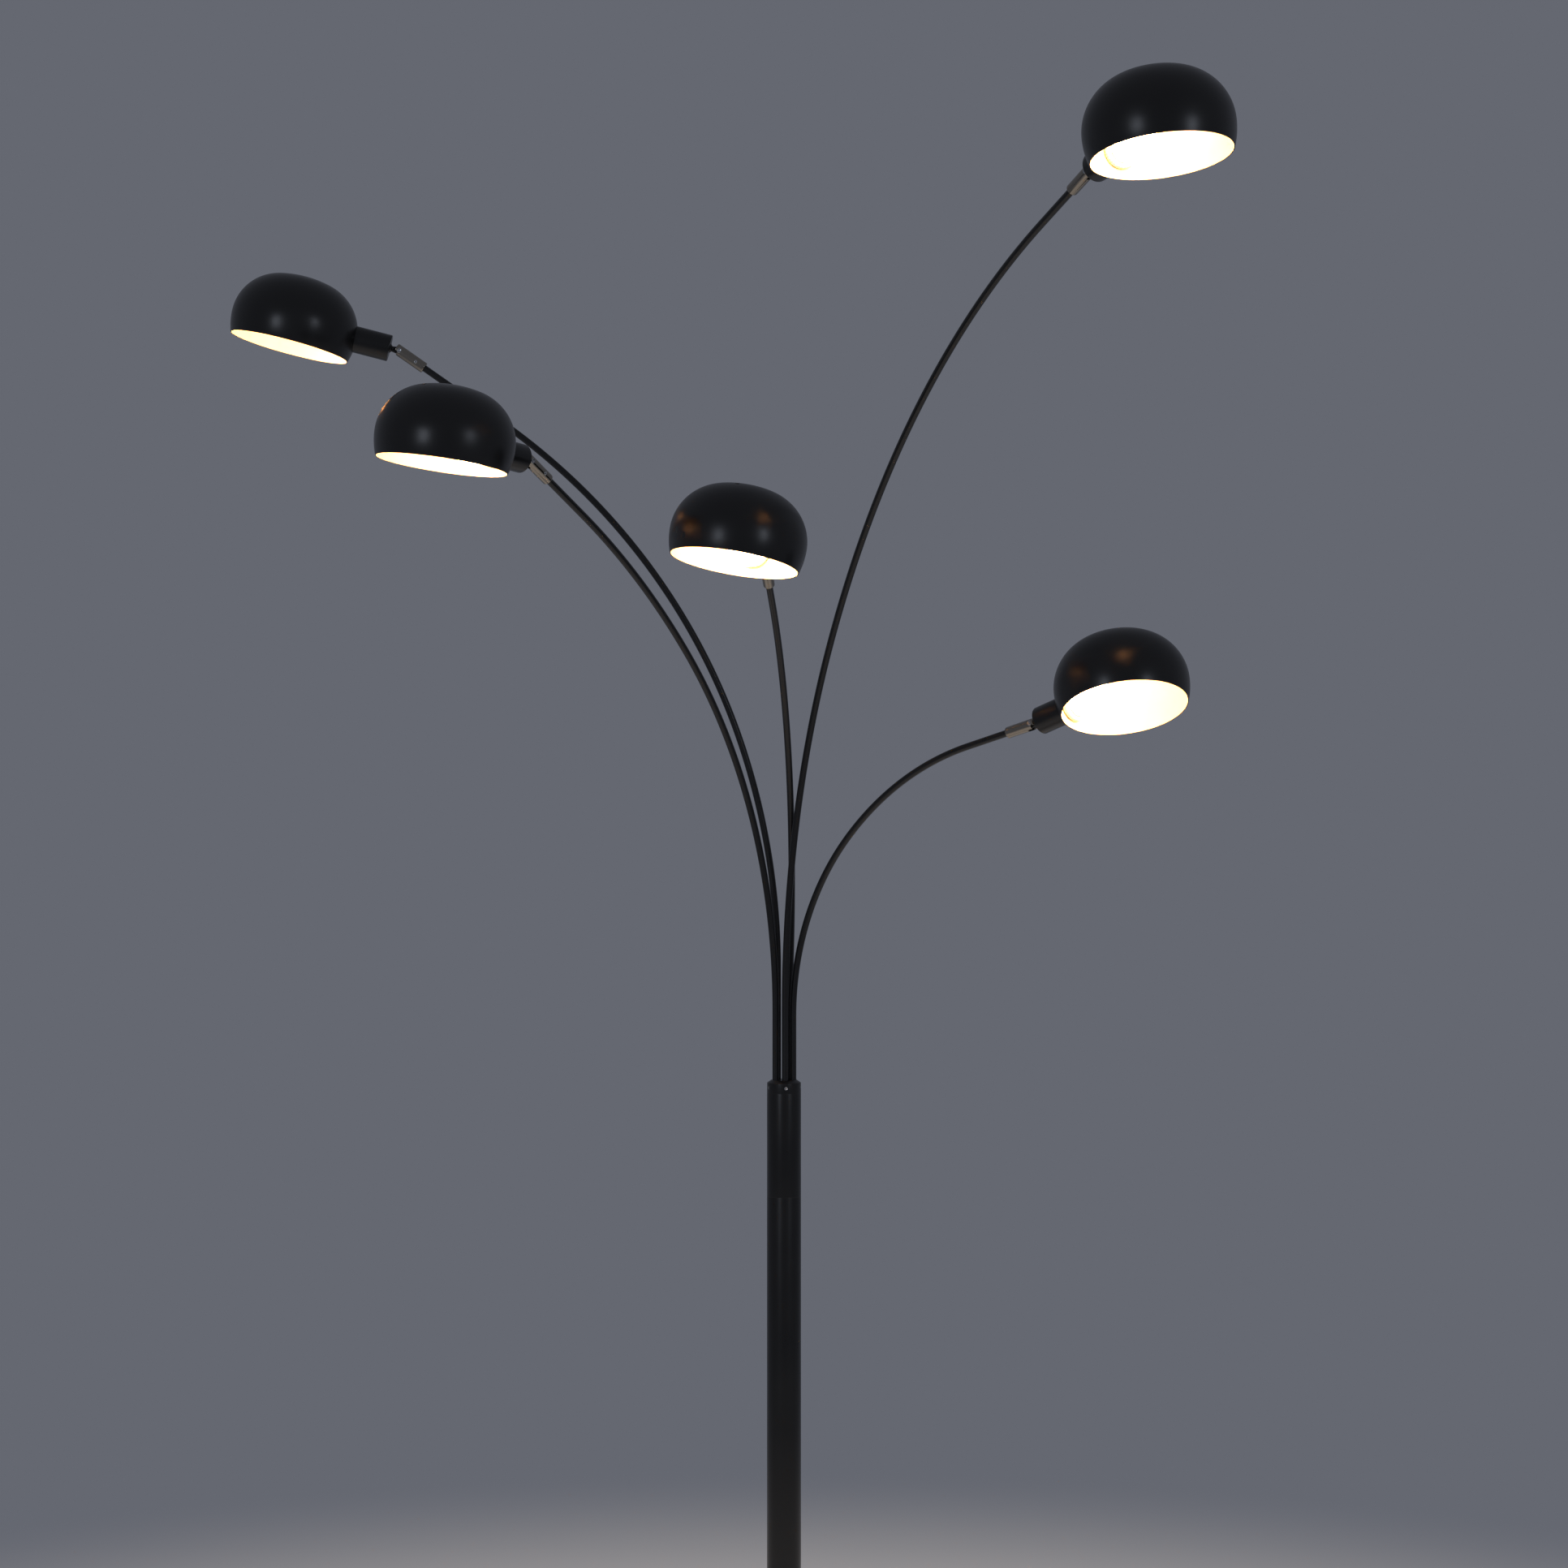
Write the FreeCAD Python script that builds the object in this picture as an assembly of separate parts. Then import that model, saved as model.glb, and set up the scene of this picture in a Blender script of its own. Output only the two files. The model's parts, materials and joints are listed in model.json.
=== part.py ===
import FreeCAD, Part
import math
import os

os.makedirs("parts", exist_ok=True)

# Tree floor lamp: a weighted round base, a pole of three tubes, a cap with five
# holes, five bent tubes that turn in the cap, and five swivelling shades.
# Millimetres. +Z is up, the origin is on the floor under the pole, and the
# lamp is looked at from -Y.

V = FreeCAD.Vector
UP = V(0, 0, 1)
AHEAD = V(1, 0, 0)
ACROSS = V(0, 1, 0)

# ---- fits ----
RUN_FIT = 0.05          # radial play of a turning fit
SEAT_FIT = 0.10         # radial play of a piece seated in another
PLAY = 0.30             # gap between pieces that move past each other

# ---- base ----
PAD_R = 150.0
PAD_T = 3.0
WEIGHT_R = 160.0
WEIGHT_T = 17.0
WEIGHT_BOSS_R = 30.0
WEIGHT_BOSS_SPREAD = 8.0    # how much wider the boss is at its foot
WEIGHT_BOSS_TOP = 25.0
NUT_POCKET_R = 30.0
CHANNEL_W = 9.0
CHANNEL_H = 9.0
POCKET_OVER_CHANNEL = 2.0
COVER_R = 166.0
COVER_WALL = 1.2
COVER_TOP_CENTRE = WEIGHT_BOSS_TOP + COVER_WALL
COVER_TOP_EDGE = 23.0
COVER_EDGE_ROUND = 7.0
COVER_SKIRT_BOTTOM = 1.5
COVER_FLAT = 6.0            # level ring round the pole
COVER_CROWNING = 0.35       # how much the slope swells, as a share of its fall

# ---- pole ----
CAP_TOP = 1040.0
POLE_R = 20.0
POLE_WALL = 1.5
POLE_SEAM = 430.0
HEAD_LEN = 141.0            # from the upper seam to the cap's top
FOOT_H = 14.0
NIPPLE_R = 6.0
NIPPLE_BORE_R = 4.0
NIPPLE_BOTTOM = 6.0
NIPPLE_PROUD = 2.0          # above the foot plug
NUT_ACROSS = 18.0
NUT_H = 5.0
WASHER_R = 14.0
WASHER_T = 2.0
JOINER_LEN = 70.0
JOINER_WALL = 3.0
SEAM_GAP = 0.3

# ---- cap ----
CAP_RIM_H = 15.0
CAP_CHAMFER_H = 3.0
CAP_CHAMFER_W = 4.5
CAP_SPIGOT_H = 20.0
RING_R = 11.2           # circle on which the five tubes stand
RING_TURN = -11.0
RING_STEP = 72.0
ROOT_DEPTH = 25.0
WIRE_HOLE_R = 2.5
GRUB_R = 2.0
GRUB_BELOW_TOP = 8.5
HEX_R = 1.15
HEX_DEPTH = 1.5

# ---- arm tubes ----
TUBE_R = 4.0
TUBE_WALL = 1.0
TIP_IN_SLEEVE = 18.0

# ---- swivel sleeve, measured from the tilt screw ----
SLEEVE_R = 6.5
SLEEVE_TAIL = 36.0
SLEEVE_NOSE = 5.0
SLEEVE_EDGE = 0.8
SOCKET_DEPTH = 20.0
SLOT_FLOOR = 5.6
LIP_CUT_LEN = 4.0
LIP_CUT_Z = 2.6
TILT_SCREW_R = 1.5
SCREW_HEAD_R = 2.5
SCREW_HEAD_T = 1.0
SCREW_HEAD_SEAT = 4.9
DRIVE_SLOT_W = 0.7
SLEEVE_GRUB_R = 1.5
SLEEVE_GRUB_BACK = 23.7
SLEEVE_HEX_R = 0.77
SLEEVE_HEX_DEPTH = 1.0

# ---- neck ----
TONGUE_T = 3.6
EYE_R = 4.5
TONGUE_END_H = 5.6
BOSS_START = 8.9
BOSS_OVERLAP = 1.0          # how far the stud runs into the boss
BOSS_NARROW_R = 3.0
BOSS_WIDE_R = 6.0
STUD_R = 4.0
STUD_LEN = 10.0

# ---- cup and lampholder ----
CUP_START = 12.0
CUP_R = 16.0
CUP_WALL = 1.0
CUP_FLOOR = 1.5
CUP_EDGE = 0.8
CUP_SHADE_GAP = 0.02
HOLDER_GAP = 0.5            # between the cup's floor and the holder
HOLDER_R = 12.0
HOLDER_START = CUP_START + CUP_FLOOR + HOLDER_GAP
HOLDER_SKIRT_R = 14.0
HOLDER_SKIRT_START = 44.0
HOLDER_END = 65.0
HOLDER_FLOOR = 30.0
HOLDER_MOUTH = 8.0          # depth of the widening that takes the bulb's neck
HOLDER_LIP = 1.5
STUD_ROOM = 0.5
SOCKET_R = 8.0
RING_OUT_R = 17.25
RING_START = 57.6
RING_T = 4.6
RING_EDGE = 1.4

# ---- shade ----
SHADE_AXIS = 129.0      # from the tilt screw to the dome's own axis
SHADE_R = 76.0
SHADE_WALL = 1.0
RIM_BELOW_CUP = 29.0
EQUATOR_ABOVE_RIM = 27.0
CROWN_ABOVE_EQUATOR = 59.5
SHOULDER_ARC_R = 57.0
RIM_DRAW_IN = 4.5
VENT_OUT = 41.0
VENT_R = 2.5

# ---- bulb ----
BULB_CAP_R = 6.8
BULB_GAP = 2.0              # between the holder's floor and the bulb
BULB_CAP_START = HOLDER_FLOOR + BULB_GAP
BULB_CAP_LEN = 25.0
BULB_BALL_R = 22.5
BULB_LEN = 78.0
BULB_NECK_R = 9.0
BULB_FLARE = 4.0            # from the cap's end to the neck
BULB_NECK_LEN = 6.0         # from the neck to the ball

# ---- cable gland ----
GLAND_Z = 9.0
GLAND_BORE_R = 3.25
GLAND_BODY_R = 5.0
GLAND_FLANGE_R = 7.0
GLAND_FLANGE_T = 2.0
GLAND_IN = 12.0
MOUTH_ROOM = 1.0            # room round the gland in the weight
MOUTH_DEEPER = 6.0

# One entry per arm. Place is the hole in the cap, counted round from +X.
# The tube leaves the cap upright, bends through low_turn degrees on
# low_radius, then through high_turn on high_radius, and ends straight.
# Roll turns the sleeve on the tube's end; nod lowers the cup from the sleeve.
ARMS = {
    "a": dict(place=2, azimuth=185.0, upright=136.0, low_radius=862.0,
              low_turn=18.5, high_radius=776.0, high_turn=36.8,
              tip=110.0, roll=0.0, nod=20.7),
    "b": dict(place=3, azimuth=232.7, upright=84.0, low_radius=627.0,
              low_turn=43.6, high_radius=880.0, high_turn=15.5,
              tip=68.0, roll=-5.9, nod=24.8),
    "c": dict(place=1, azimuth=260.0, upright=41.4, low_radius=1800.0,
              low_turn=2.3, high_radius=580.0, high_turn=51.7,
              tip=33.0, roll=-9.6, nod=29.7, lean_azimuth=350.0),
    "d": dict(place=0, azimuth=318.6, upright=78.0, low_radius=318.0,
              low_turn=42.6, high_radius=382.0, high_turn=32.8,
              tip=62.0, roll=-14.5, nod=-5.1),
    "e": dict(place=4, azimuth=296.2, upright=88.0, low_radius=857.0,
              low_turn=30.3, high_radius=1011.0, high_turn=37.4,
              tip=65.0, roll=1.6, nod=13.1),
}


def save(name, shape):
    """Write one sub-part and print its size."""
    if not shape.isValid():
        raise ValueError(name + " is not a valid solid")
    shape.exportStep("parts/" + name + ".step")
    print(name, len(shape.Solids), round(shape.Volume))


def disc(radius, bottom, top, centre=V(0, 0, 0)):
    """An upright cylinder between two heights."""
    return Part.makeCylinder(radius, top - bottom, centre + UP * bottom)


def rod(radius, start, end):
    """A cylinder along local X."""
    return Part.makeCylinder(radius, end - start, AHEAD * start, AHEAD)


def cross_rod(radius, start, end, x=0.0):
    """A cylinder along local Y."""
    return Part.makeCylinder(radius, end - start, V(x, start, 0), ACROSS)


def block(x0, x1, y0, y1, z0, z1):
    """A box between its limits."""
    return Part.makeBox(x1 - x0, y1 - y0, z1 - z0, V(x0, y0, z0))


def turned(edges, centre, axis):
    """A solid turned from a closed outline."""
    face = Part.Face(Part.Wire(Part.__sortEdges__(edges)))
    return face.revolve(centre, axis, 360)


def line(a, b):
    return Part.makeLine(a, b)


def arc(a, middle, b):
    return Part.Arc(a, middle, b).toShape()


def corner_arc(centre, radius, start, end):
    """An arc in the XZ plane round a centre, angles in degrees from +X."""
    points = []
    for angle in (start, (start + end) / 2.0, end):
        turn = math.radians(angle)
        points.append(centre + V(radius * math.cos(turn), 0, radius * math.sin(turn)))
    return arc(points[0], points[1], points[2])


def frame_at(origin, x_dir, y_dir, z_dir):
    """The placement that carries local axes to the given ones."""
    matrix = FreeCAD.Matrix(
        x_dir.x, y_dir.x, z_dir.x, origin.x,
        x_dir.y, y_dir.y, z_dir.y, origin.y,
        x_dir.z, y_dir.z, z_dir.z, origin.z,
        0, 0, 0, 1)
    return FreeCAD.Placement(matrix)


def placed(shape, frame):
    copy = shape.copy()
    copy.Placement = frame.multiply(copy.Placement)
    return copy


def heading(degrees):
    """The level direction at an azimuth."""
    turn = math.radians(degrees)
    return V(math.cos(turn), math.sin(turn), 0)


# ---- arm geometry ----

def root_point(arm):
    """The point on the cap's top face where an arm's tube leaves it."""
    place = heading(RING_TURN + RING_STEP * arm["place"])
    return place * RING_R + UP * CAP_TOP


def bend(point, direction, toward, radius, turn):
    """One bend of a tube: its edge, and the point and direction after it."""
    inward = toward - direction * toward.dot(direction)
    inward.normalize()

    def at(degrees):
        angle = math.radians(degrees)
        along = direction * (radius * math.sin(angle))
        return point + along + inward * (radius * (1 - math.cos(angle)))

    angle = math.radians(turn)
    after = direction * math.cos(angle) + inward * math.sin(angle)
    return arc(point, at(turn / 2.0), at(turn)), at(turn), after


def arm_path(arm):
    """The tube's centre line, with the point and direction at its tip."""
    root = root_point(arm)
    level = heading(arm["azimuth"])
    lean = heading(arm.get("lean_azimuth", arm["azimuth"]))
    foot = root - UP * ROOT_DEPTH
    knee = root + UP * arm["upright"]
    edges = [line(foot, knee)]
    low, point, direction = bend(knee, UP, lean, arm["low_radius"], arm["low_turn"])
    edges.append(low)
    high, point, direction = bend(point, direction, level, arm["high_radius"], arm["high_turn"])
    edges.append(high)
    tip = point + direction * arm["tip"]
    edges.append(line(point, tip + direction * TIP_IN_SLEEVE))
    return edges, tip, direction


def swivel_frame(arm):
    """Local axes at the tilt screw: X out along the sleeve, Y the tilt axis."""
    edges, tip, out = arm_path(arm)
    side = UP.cross(out)
    side.normalize()
    top = out.cross(side)
    roll = math.radians(arm["roll"])
    tilt_axis = side * math.cos(roll) + top * math.sin(roll)
    sleeve_top = top * math.cos(roll) - side * math.sin(roll)
    return frame_at(tip + out * SLEEVE_TAIL, out, tilt_axis, sleeve_top)


def head_frame(arm):
    """Local axes of the shade's side: X along the cup, nodded about Y."""
    nod = FreeCAD.Placement(V(0, 0, 0), FreeCAD.Rotation(ACROSS, arm["nod"]))
    return swivel_frame(arm).multiply(nod)


def arm_tube(arm):
    """A thin tube swept along the arm's centre line."""
    edges, tip, out = arm_path(arm)
    start = root_point(arm) - UP * ROOT_DEPTH
    skins = []
    for radius in (TUBE_R, TUBE_R - TUBE_WALL):
        ring = Part.Wire([Part.Circle(start, UP, radius).toShape()])
        skins.append(Part.Wire(edges).makePipeShell([ring], True, True))
    return skins[0].cut(skins[1])


# ---- pieces of the swivel, in the sleeve's local axes ----

def swivel_sleeve():
    """A turned sleeve: bored for the tube, slotted for the neck's tongue."""
    body = rod(SLEEVE_R, -SLEEVE_TAIL, SLEEVE_NOSE)
    round_edges = []
    for edge in body.Edges:
        if len(edge.Vertexes) == 1:
            round_edges.append(edge)
    body = body.makeChamfer(SLEEVE_EDGE, round_edges)
    bore_end = -SLEEVE_TAIL + SOCKET_DEPTH
    body = body.cut(rod(TUBE_R + RUN_FIT, -SLEEVE_TAIL, bore_end))
    body = body.cut(rod(WIRE_HOLE_R, bore_end, SLEEVE_NOSE))
    half_slot = TONGUE_T / 2.0 + PLAY
    slot = block(-SLOT_FLOOR, SLEEVE_NOSE, -half_slot, half_slot, -SLEEVE_R, SLEEVE_R)
    body = body.cut(slot)
    lip = block(SLEEVE_NOSE - LIP_CUT_LEN, SLEEVE_NOSE, -SLEEVE_R, SLEEVE_R,
                -SLEEVE_R, -LIP_CUT_Z)
    body = body.cut(lip)
    body = body.cut(cross_rod(TILT_SCREW_R + RUN_FIT, -SLEEVE_R, SLEEVE_R))
    for side in (-1, 1):
        middle = side * (SCREW_HEAD_SEAT + SLEEVE_R) / 2.0
        half_depth = (SLEEVE_R - SCREW_HEAD_SEAT) / 2.0
        seat = cross_rod(SCREW_HEAD_R + RUN_FIT, middle - half_depth, middle + half_depth)
        body = body.cut(seat)
    grub_hole = cross_rod(SLEEVE_GRUB_R + RUN_FIT, TUBE_R, SLEEVE_R, -SLEEVE_GRUB_BACK)
    return body.cut(grub_hole)


def swivel_screws():
    """The tilt screw with its two flush heads, and the sleeve's grub screw."""
    shank = cross_rod(TILT_SCREW_R, -SCREW_HEAD_SEAT, SCREW_HEAD_SEAT)
    head_top = SCREW_HEAD_SEAT + SCREW_HEAD_T
    near = cross_rod(SCREW_HEAD_R, SCREW_HEAD_SEAT, head_top)
    far = cross_rod(SCREW_HEAD_R, -head_top, -SCREW_HEAD_SEAT)
    screw = shank.fuse([near, far])
    half = DRIVE_SLOT_W / 2.0
    drive = block(-half, half, head_top - half, head_top, -SCREW_HEAD_R, SCREW_HEAD_R)
    screw = screw.cut(drive)
    outer = SLEEVE_R - PLAY
    grub = cross_rod(SLEEVE_GRUB_R, TUBE_R + PLAY, outer, -SLEEVE_GRUB_BACK)
    key = cross_rod(SLEEVE_HEX_R, outer - SLEEVE_HEX_DEPTH, outer, -SLEEVE_GRUB_BACK)
    return Part.makeCompound([screw, grub.cut(key)])


# ---- pieces of the head, in the cup's local axes ----

def neck():
    """A flat tongue with an eye, a conical boss and a stud."""
    half = TONGUE_T / 2.0
    eye = cross_rod(EYE_R, -half, half)
    reach = BOSS_START + half
    slope = (EYE_R - TONGUE_END_H / 2.0) / reach
    lean = math.asin(slope)
    x0 = EYE_R * math.sin(lean)
    z0 = EYE_R * math.cos(lean)
    z1 = TONGUE_END_H / 2.0
    corners = [V(x0, -half, z0), V(reach, -half, z1), V(reach, -half, -z1), V(x0, -half, -z0)]
    blade = Part.Face(Part.makePolygon(corners + corners[:1])).extrude(ACROSS * TONGUE_T)
    boss = Part.makeCone(BOSS_NARROW_R, BOSS_WIDE_R, CUP_START - BOSS_START,
                         AHEAD * BOSS_START, AHEAD)
    stud = rod(STUD_R, BOSS_START + BOSS_OVERLAP, CUP_START + STUD_LEN)
    body = eye.fuse([blade, boss, stud]).removeSplitter()
    return body.cut(cross_rod(TILT_SCREW_R + RUN_FIT, -half, half))


def dome_section(inset):
    """Half outline of the dome, inset from the outer skin, with its axis line."""
    equator_z = EQUATOR_ABOVE_RIM - RIM_BELOW_CUP
    rim_z = -RIM_BELOW_CUP
    height = CROWN_ABOVE_EQUATOR
    shoulder = SHOULDER_ARC_R
    crown = (SHADE_R ** 2 + height ** 2 - 2 * SHADE_R * shoulder) / (2 * (height - shoulder))
    lower = (EQUATOR_ABOVE_RIM ** 2 + RIM_DRAW_IN ** 2) / (2 * RIM_DRAW_IN)
    axis = V(SHADE_AXIS, 0, equator_z)
    shoulder_centre = axis - AHEAD * (SHADE_R - shoulder)
    crown_centre = axis + UP * (height - crown)
    lower_centre = axis + AHEAD * (lower - SHADE_R)
    meet = math.degrees(math.atan2(crown - height, SHADE_R - shoulder))
    rim_angle = math.degrees(math.asin(EQUATOR_ABOVE_RIM / (lower - inset)))
    lower_arc = corner_arc(lower_centre, lower - inset, 180.0 + rim_angle, 180.0)
    side_arc = corner_arc(shoulder_centre, shoulder - inset, 180.0, 180.0 - meet)
    top_arc = corner_arc(crown_centre, crown - inset, 180.0 - meet, 90.0)
    return [lower_arc, side_arc, top_arc], rim_z


def dome_solid(inset):
    """The dome filled in, as a cutter."""
    arcs, rim_z = dome_section(inset)
    rim = arcs[0].Vertexes[0].Point
    crown = arcs[2].Vertexes[-1].Point
    foot = V(SHADE_AXIS, 0, rim_z)
    outline = arcs + [line(crown, foot), line(foot, rim)]
    return turned(outline, foot, UP)


def shade():
    """A flattened ball open below, with a side hole and a small vent hole."""
    body = dome_solid(0.0).cut(dome_solid(SHADE_WALL))
    side_hole = rod(HOLDER_SKIRT_R + SEAT_FIT, SHADE_AXIS - SHADE_R, SHADE_AXIS - SHADE_R / 2.0)
    body = body.cut(side_hole)
    vent = Part.makeCylinder(VENT_R, CROWN_ABOVE_EQUATOR, V(SHADE_AXIS + VENT_OUT, 0, 0), UP)
    return body.cut(vent)


def socket_cup():
    """A drawn cup whose open end is cut to the dome's side."""
    outer = rod(CUP_R, CUP_START, SHADE_AXIS - SHADE_R / 2.0)
    end_edges = []
    for edge in outer.Edges:
        if len(edge.Vertexes) == 1 and edge.CenterOfMass.x < CUP_START + CUP_WALL:
            end_edges.append(edge)
    outer = outer.makeFillet(CUP_EDGE, end_edges)
    body = outer.cut(rod(CUP_R - CUP_WALL, CUP_START + CUP_FLOOR, SHADE_AXIS))
    body = body.cut(rod(STUD_R + RUN_FIT, CUP_START, CUP_START + CUP_FLOOR))
    return body.cut(dome_solid(-CUP_SHADE_GAP))


def lampholder():
    """A stepped holder: a body on the stud, a threaded skirt, an open socket."""
    body = rod(HOLDER_R, HOLDER_START, HOLDER_SKIRT_START)
    skirt = rod(HOLDER_SKIRT_R, HOLDER_SKIRT_START, HOLDER_END)
    body = body.fuse(skirt).removeSplitter()
    body = body.cut(rod(STUD_R + SEAT_FIT, HOLDER_START, CUP_START + STUD_LEN + STUD_ROOM))
    body = body.cut(rod(SOCKET_R, HOLDER_FLOOR, HOLDER_END))
    mouth_start = AHEAD * (HOLDER_END - HOLDER_MOUTH)
    mouth = Part.makeCone(SOCKET_R, HOLDER_SKIRT_R - HOLDER_LIP, HOLDER_MOUTH, mouth_start, AHEAD)
    return body.cut(mouth)


def shade_ring():
    """The ring that clamps the shade on the lampholder's skirt."""
    ring = rod(RING_OUT_R, RING_START, RING_START + RING_T)
    face_edges = []
    for edge in ring.Edges:
        if len(edge.Vertexes) == 1 and edge.CenterOfMass.x > RING_START + RING_EDGE:
            face_edges.append(edge)
    ring = ring.makeFillet(RING_EDGE, face_edges)
    return ring.cut(rod(HOLDER_SKIRT_R + RUN_FIT, RING_START, RING_START + RING_T))


def bulb():
    """A ball-shaped bulb with a slim screw cap."""
    start = BULB_CAP_START
    cap_end = start + BULB_CAP_LEN
    ball = start + BULB_LEN - BULB_BALL_R
    neck_x = cap_end + BULB_FLARE
    blend = math.acos((ball - neck_x - BULB_NECK_LEN) / BULB_BALL_R)
    touch = V(ball - BULB_BALL_R * math.cos(blend), 0, BULB_BALL_R * math.sin(blend))
    tip = V(ball + BULB_BALL_R, 0, 0)
    half_sweep = (math.pi - blend) / 2.0
    middle = V(ball + BULB_BALL_R * math.cos(half_sweep), 0, BULB_BALL_R * math.sin(half_sweep))
    outline = [
        line(V(start, 0, 0), V(start, 0, BULB_CAP_R)),
        line(V(start, 0, BULB_CAP_R), V(cap_end, 0, BULB_CAP_R)),
        line(V(cap_end, 0, BULB_CAP_R), V(neck_x, 0, BULB_NECK_R)),
        line(V(neck_x, 0, BULB_NECK_R), touch),
        arc(touch, middle, tip),
        line(tip, V(start, 0, 0)),
    ]
    return turned(outline, V(0, 0, 0), AHEAD)


# ---- stand ----

def base_pad():
    """A thin rubber disc glued under the whole weight."""
    return disc(PAD_R, 0, PAD_T)


def base_weight():
    """A cast disc with a boss, a nut pocket and a channel for the cable."""
    top = PAD_T + WEIGHT_T
    body = disc(WEIGHT_R, PAD_T, top)
    boss_foot_r = WEIGHT_BOSS_R + WEIGHT_BOSS_SPREAD
    boss = Part.makeCone(boss_foot_r, WEIGHT_BOSS_R, WEIGHT_BOSS_TOP - top, UP * top)
    body = body.fuse(boss).removeSplitter()
    pocket_top = PAD_T + CHANNEL_H + POCKET_OVER_CHANNEL
    body = body.cut(disc(NUT_POCKET_R, PAD_T, pocket_top))
    body = body.cut(disc(NIPPLE_R + SEAT_FIT, PAD_T, WEIGHT_BOSS_TOP))
    half = CHANNEL_W / 2.0
    channel = block(-half, half, 0, WEIGHT_R, PAD_T, PAD_T + CHANNEL_H)
    mouth_len = GLAND_IN + MOUTH_DEEPER
    mouth_start = V(0, COVER_R - COVER_WALL - mouth_len, GLAND_Z)
    mouth = Part.makeCylinder(GLAND_BODY_R + MOUTH_ROOM, mouth_len, mouth_start, ACROSS)
    return body.cut(channel).cut(mouth)


def cover_section(inset):
    """Half outline of the cover's skin, from the centre out and down."""
    top = COVER_TOP_CENTRE - inset
    edge_r = COVER_R - inset
    edge_round = COVER_EDGE_ROUND - inset
    edge_top = COVER_TOP_EDGE - inset
    centre = V(edge_r - edge_round, 0, edge_top - edge_round)
    flat_end = V(POLE_R + COVER_FLAT, 0, top)
    round_start = centre + UP * edge_round
    rise = (top - edge_top) * COVER_CROWNING
    middle = V((flat_end.x + round_start.x) / 2.0, 0, (top + edge_top) / 2.0 + rise)
    slope = arc(flat_end, middle, round_start)
    corner = corner_arc(centre, edge_round, 90.0, 0.0)
    side_end = V(edge_r, 0, COVER_SKIRT_BOTTOM)
    side = line(centre + AHEAD * edge_round, side_end)
    foot = V(0, 0, COVER_SKIRT_BOTTOM)
    crown = V(0, 0, top)
    return [line(crown, flat_end), slope, corner, side, line(side_end, foot), line(foot, crown)]


def base_cover():
    """A thin spun cover over the weight."""
    skin = turned(cover_section(0.0), V(0, 0, 0), UP)
    hollow = turned(cover_section(COVER_WALL), V(0, 0, 0), UP)
    body = skin.cut(hollow)
    body = body.cut(disc(NIPPLE_R + SEAT_FIT, 0, COVER_TOP_CENTRE))
    inlet_start = V(0, COVER_R - GLAND_IN, GLAND_Z)
    inlet = Part.makeCylinder(GLAND_BODY_R + RUN_FIT, GLAND_IN + PLAY, inlet_start, ACROSS)
    return body.cut(inlet)


def cable_gland():
    """A flanged bushing in the cover's back wall, open for a cable."""
    outside = COVER_R + PLAY
    inner_end = V(0, COVER_R - GLAND_IN, GLAND_Z)
    body = Part.makeCylinder(GLAND_BODY_R, GLAND_IN + PLAY, inner_end, ACROSS)
    flange = Part.makeCylinder(GLAND_FLANGE_R, GLAND_FLANGE_T, V(0, outside, GLAND_Z), ACROSS)
    body = body.fuse(flange).removeSplitter()
    bore_len = GLAND_IN + PLAY + GLAND_FLANGE_T
    return body.cut(Part.makeCylinder(GLAND_BORE_R, bore_len, inner_end, ACROSS))


def pole_tube(bottom, top):
    tube = disc(POLE_R, bottom, top)
    return tube.cut(disc(POLE_R - POLE_WALL, bottom, top))


def pole_foot():
    """A plug in the pole's lower end, threaded for the nipple."""
    bottom = COVER_TOP_CENTRE
    body = disc(POLE_R - POLE_WALL - SEAT_FIT, bottom, bottom + FOOT_H)
    return body.cut(disc(NIPPLE_R + RUN_FIT, bottom, bottom + FOOT_H))


def base_nipple():
    """A hollow threaded rod that ties pole, cover and weight together."""
    top = COVER_TOP_CENTRE + FOOT_H + NIPPLE_PROUD
    body = disc(NIPPLE_R, NIPPLE_BOTTOM, top)
    return body.cut(disc(NIPPLE_BORE_R, NIPPLE_BOTTOM, top))


def base_fixings():
    """The washer and hexagon nut under the weight."""
    ceiling = PAD_T + CHANNEL_H + POCKET_OVER_CHANNEL
    washer = disc(WASHER_R, ceiling - WASHER_T, ceiling)
    nut_top = ceiling - WASHER_T
    corners = []
    for step in range(7):
        corners.append(heading(60.0 * step) * (NUT_ACROSS / math.sqrt(3)) + UP * (nut_top - NUT_H))
    nut = Part.Face(Part.makePolygon(corners)).extrude(UP * NUT_H)
    pieces = []
    for piece in (washer, nut):
        pieces.append(piece.cut(disc(NIPPLE_R + RUN_FIT, 0, ceiling)))
    return Part.makeCompound(pieces)


def joiner(seam):
    """A sleeve inside two pole tubes at their seam."""
    radius = POLE_R - POLE_WALL - SEAT_FIT
    body = disc(radius, seam - JOINER_LEN / 2.0, seam + JOINER_LEN / 2.0)
    return body.cut(disc(radius - JOINER_WALL, seam - JOINER_LEN, seam + JOINER_LEN))


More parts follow.
